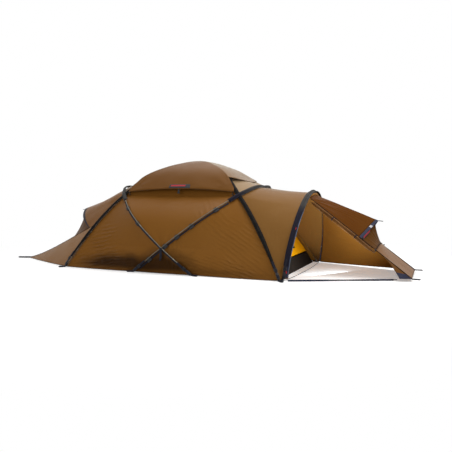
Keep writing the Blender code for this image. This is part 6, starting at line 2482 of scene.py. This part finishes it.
@dataclass
class Straps:
    """Loose straps, the ground straps and the zip sliders."""

    form: TentForm
    poles: dict[str, PoleLine]
    hanging_size: Triple = (0.020, 0.0015, 0.150)
    ground_start: Pair = (1.500, 0.905)
    ground_end: Pair = (2.538, 0.392)
    ground_height: float = 0.014
    foot_line_end: Triple = (1.462, 0.826, 0.006)
    foot_line_bow: float = 0.035

    def build(self) -> None:
        """Makes the straps and sliders."""
        pole = self.poles["arch_rear"]
        point, _, _ = pole.read(np.array(pole.marks["low_near"]))
        reach = abs(float(point[1])) + 0.009
        for side, word in SIDES:
            self.build_hanging(side, word, reach)
        self.build_ground()
        self.build_sliders()

    def build_hanging(self, side: int, word: str, reach: float) -> None:
        """Makes a loose strap with two tails.

        Args:
            side: Side of the tent.
            word: Name of that side.
            reach: Distance of the strap from the middle.
        """
        width, _, length = self.hanging_size
        top = self.form.low_height
        shaper = Shaper(f"loose_strap_{word}")
        for shift, share in ((-0.006, 1.0), (0.008, 0.82)):
            def tail(u: Array, v: Array, shift: float = shift, share: float = share) -> Array:
                """Point of a hanging end."""
                x = shift + between(-width / 2.2, width / 2.2, v) + 0.004 * np.sin(3.0 * u)
                y = side * (reach + 0.0015 * np.sin(4.0 * u) + (0.002 if shift > 0 else 0.0))
                return stack(x, y, top - length * share * u)
            shaper.panel(Panel(tail, 16, 4, (Edge.TOP, Edge.BOTTOM)), (0.0, 0.0, 0.2))
        shaper.install(Finishes.webbing, f"hanging_strap_{word}", [f"hanging_strap_{word}"], "webbing",
                       0.0014)

    def build_ground(self) -> None:
        """Makes the strap on the ground with its hook, and the strap between the porch pole's feet."""
        start = np.array([self.ground_start[0], -self.ground_start[1], self.ground_height])
        end = np.array([self.ground_end[0], -self.ground_end[1], self.ground_height])
        side = unit(np.cross(end - start, np.array(UP)))

        def strap(u: Array, v: Array) -> Array:
            """Point of the strap, which twists a little."""
            lean = 1.25 + 0.35 * np.sin(u * 9.0)
            across = between(-0.010, 0.010, v)
            flat = start + (end - start) * u[..., None] + side * (across * np.cos(lean))[..., None]
            return flat + stack(0 * u, 0 * u, across * np.sin(lean) - 0.002)
        shaper = Shaper("ground_webbing").panel(Panel(strap, 80, 3, (Edge.TOP, Edge.BOTTOM)),
                                                (0.0, 0.0, -1.0))
        shaper.install(Finishes.slate, "ground_strap", ["ground_strap"], "webbing", 0.0016)
        run = unit(end - start)
        hook = Shaper("ground_hook").block((0.014, 0.026, 0.006), frame_at(end + run * 0.004, run, UP),
                                           0.0015)
        ring = [end + run * (0.026 - 0.013 * math.cos(a)) + side * 0.010 * math.sin(a)
                for a in np.linspace(0.3, 2 * math.pi - 0.3, 20)]
        fitting(hook.rod(np.array(ring), 0.0026, 8), "ground_strap")
        foot = np.array(self.foot_line_end)
        path = straight(mirror_y(foot), foot)(np.linspace(0, 1, 40))
        path += vec(self.foot_line_bow, 0.0, 0.0) * np.sin(math.pi * np.linspace(0, 1, 40))[:, None]
        edging("porch_foot_line", path, 0.0028, Finishes.webbing, "webbing")

    def build_sliders(self) -> None:
        """Makes both zip sliders with their pulls, turned as their nodes are."""
        for node in ("porch_zip_slider", "inner_zip_slider"):
            points = np.array([vertex.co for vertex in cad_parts[node].data.vertices])
            centre = points.mean(axis=0)
            _, _, axes = np.linalg.svd(points - centre)
            outward = axes[2] * np.sign(float(axes[2] @ (centre - vec(1.0, 0.0, 0.3))) or 1.0)
            matrix = frame_at(centre, axes[0] * np.sign(axes[0][2]), outward)
            slider = Shaper(f"zip_pull_{node}").block((0.012, 0.011, 0.0050), matrix, 0.0014)
            slider.block((0.006, 0.004, 0.0055), matrix @ Matrix.Translation((0.003, 0.0, 0.0005)), 0.001)
            slider.block((0.020, 0.006, 0.0014), matrix @ Matrix.Translation((-0.009, 0.0, 0.0024)), 0.0005)
            slider.install(Finishes.steel, node, [node], "steel")


# Studio


@dataclass
class Studio:
    """Pale floor, soft lights and the photograph's viewing angle."""

    camera_place: Triple = (2.974, -6.2472, 0.9201)
    yaw: float = 0.3887
    pitch: float = 0.0592
    roll: float = 0.0037
    focal_pixels: float = 519.9
    frame_pixels: float = 452.0
    sensor: float = 36.0
    soft_strength: float = 0.44
    indoor_lamps: tuple[str, ...] = ("porch_fill", "inner_fill")
    indoor_colour: Triple = (0.80, 0.92, 1.0)

    def build(self) -> None:
        """Makes the studio."""
        self.build_camera()
        self.build_floor()
        self.build_lights()
        self.build_world()
        bpy.context.scene.view_settings.view_transform = "Standard"

    def build_camera(self) -> None:
        """Sets up the camera as the photograph was taken."""
        yaw, pitch = self.yaw, self.pitch
        forward = Vector((-math.sin(yaw) * math.cos(pitch), math.cos(yaw) * math.cos(pitch),
                          -math.sin(pitch)))
        right = Vector((math.cos(yaw), math.sin(yaw), 0.0))
        up = right.cross(forward)
        turned_right = right * math.cos(self.roll) + up * math.sin(self.roll)
        turned_up = up * math.cos(self.roll) - right * math.sin(self.roll)
        data = bpy.data.cameras.new("view")
        data.sensor_width = self.sensor
        data.lens = self.focal_pixels / self.frame_pixels * self.sensor
        camera = bpy.data.objects.new("view", data)
        turn = Matrix((turned_right, turned_up, -forward)).transposed().to_4x4()
        camera.matrix_world = Matrix.Translation(Vector(self.camera_place)) @ turn
        bpy.context.scene.collection.objects.link(camera)
        bpy.context.scene.camera = camera

    def build_floor(self) -> None:
        """Lays the floor."""
        form = bmesh.new()
        bmesh.ops.create_grid(form, x_segments=8, y_segments=8, size=30.0)
        mesh = bpy.data.meshes.new("floor")
        form.to_mesh(mesh)
        form.free()
        mesh.materials.append(Finishes.floor.material())
        floor = bpy.data.objects.new("floor", mesh)
        bpy.context.scene.collection.objects.link(floor)

    def build_lights(self) -> None:
        """Hangs the soft lights."""
        lights = (("overhead", (0.4, 0.3, 4.6), (0.0, 0.0, 0.4), (6.0, 4.0), 118.0),
                  ("crown", (3.6, -0.4, 3.9), (0.7, 0.0, 1.1), (2.0, 2.0), 84.0),
                  ("front_fill", (-0.4, -6.6, 2.4), (-0.4, 0.0, 0.4), (4.0, 2.0), 66.0),
                  ("porch_fill", (1.93, -0.22, 0.075), (1.73, -0.08, 0.52), (0.6, 0.3), 18.0),
                  ("inner_fill", (0.0, 0.0, 0.30), (0.0, 0.0, 1.0), (0.8, 0.8), 5.0),
                  ("rear_fill", (-4.2, 4.2, 3.0), (0.0, 0.0, 0.5), (3.0, 2.0), 24.0))
        for name, place, target, size, power in lights:
            data = bpy.data.lights.new(name, "AREA")
            data.shape = "RECTANGLE"
            data.size, data.size_y = size
            data.energy = power
            if name == "porch_fill":
                data.color = self.indoor_colour
            lamp = bpy.data.objects.new(name, data)
            lamp.visible_camera = False
            lamp.visible_glossy = name not in self.indoor_lamps
            aim = (Vector(target) - Vector(place)).to_track_quat("-Z", "Y").to_matrix().to_4x4()
            lamp.matrix_world = Matrix.Translation(Vector(place)) @ aim
            bpy.context.scene.collection.objects.link(lamp)

    def build_world(self) -> None:
        """Sets a soft even light that the camera, glossy and transmission rays see as white."""
        world = bpy.data.worlds.new("studio")
        world.use_nodes = True
        bpy.context.scene.world = world
        nodes, links = world.node_tree.nodes, world.node_tree.links
        nodes.clear()
        path = nodes.new("ShaderNodeLightPath")
        total = path.outputs["Is Camera Ray"]
        for ray in ("Is Glossy Ray", "Is Transmission Ray"):
            seen = nodes.new("ShaderNodeMath")
            seen.operation = "MAXIMUM"
            links.new(total, seen.inputs[0])
            links.new(path.outputs[ray], seen.inputs[1])
            total = seen.outputs[0]
        mix = nodes.new("ShaderNodeMixShader")
        links.new(total, mix.inputs[0])
        for index, strength in ((1, self.soft_strength), (2, 1.0)):
            shader = nodes.new("ShaderNodeBackground")
            shader.inputs["Strength"].default_value = strength
            shader.inputs["Color"].default_value = (1.0, 1.0, 1.0, 1.0)
            links.new(shader.outputs[0], mix.inputs[index])
        output = nodes.new("ShaderNodeOutputWorld")
        links.new(mix.outputs[0], output.inputs["Surface"])


def main() -> None:
    """Builds the studio and dresses the tent."""
    logging.basicConfig(level=logging.INFO, format="%(message)s")
    Studio().build()
    form = TentForm()
    poles = form.poles()
    DomeFly(form).build()
    RoofCap(form).build()
    Tunnel(form).build()
    FrontPorch(form).build()
    RearVestibule(form).build()
    InnerTent(form).build()
    PoleSet(poles).build()
    Straps(form, poles).build()


if __name__ == "__main__":
    main()
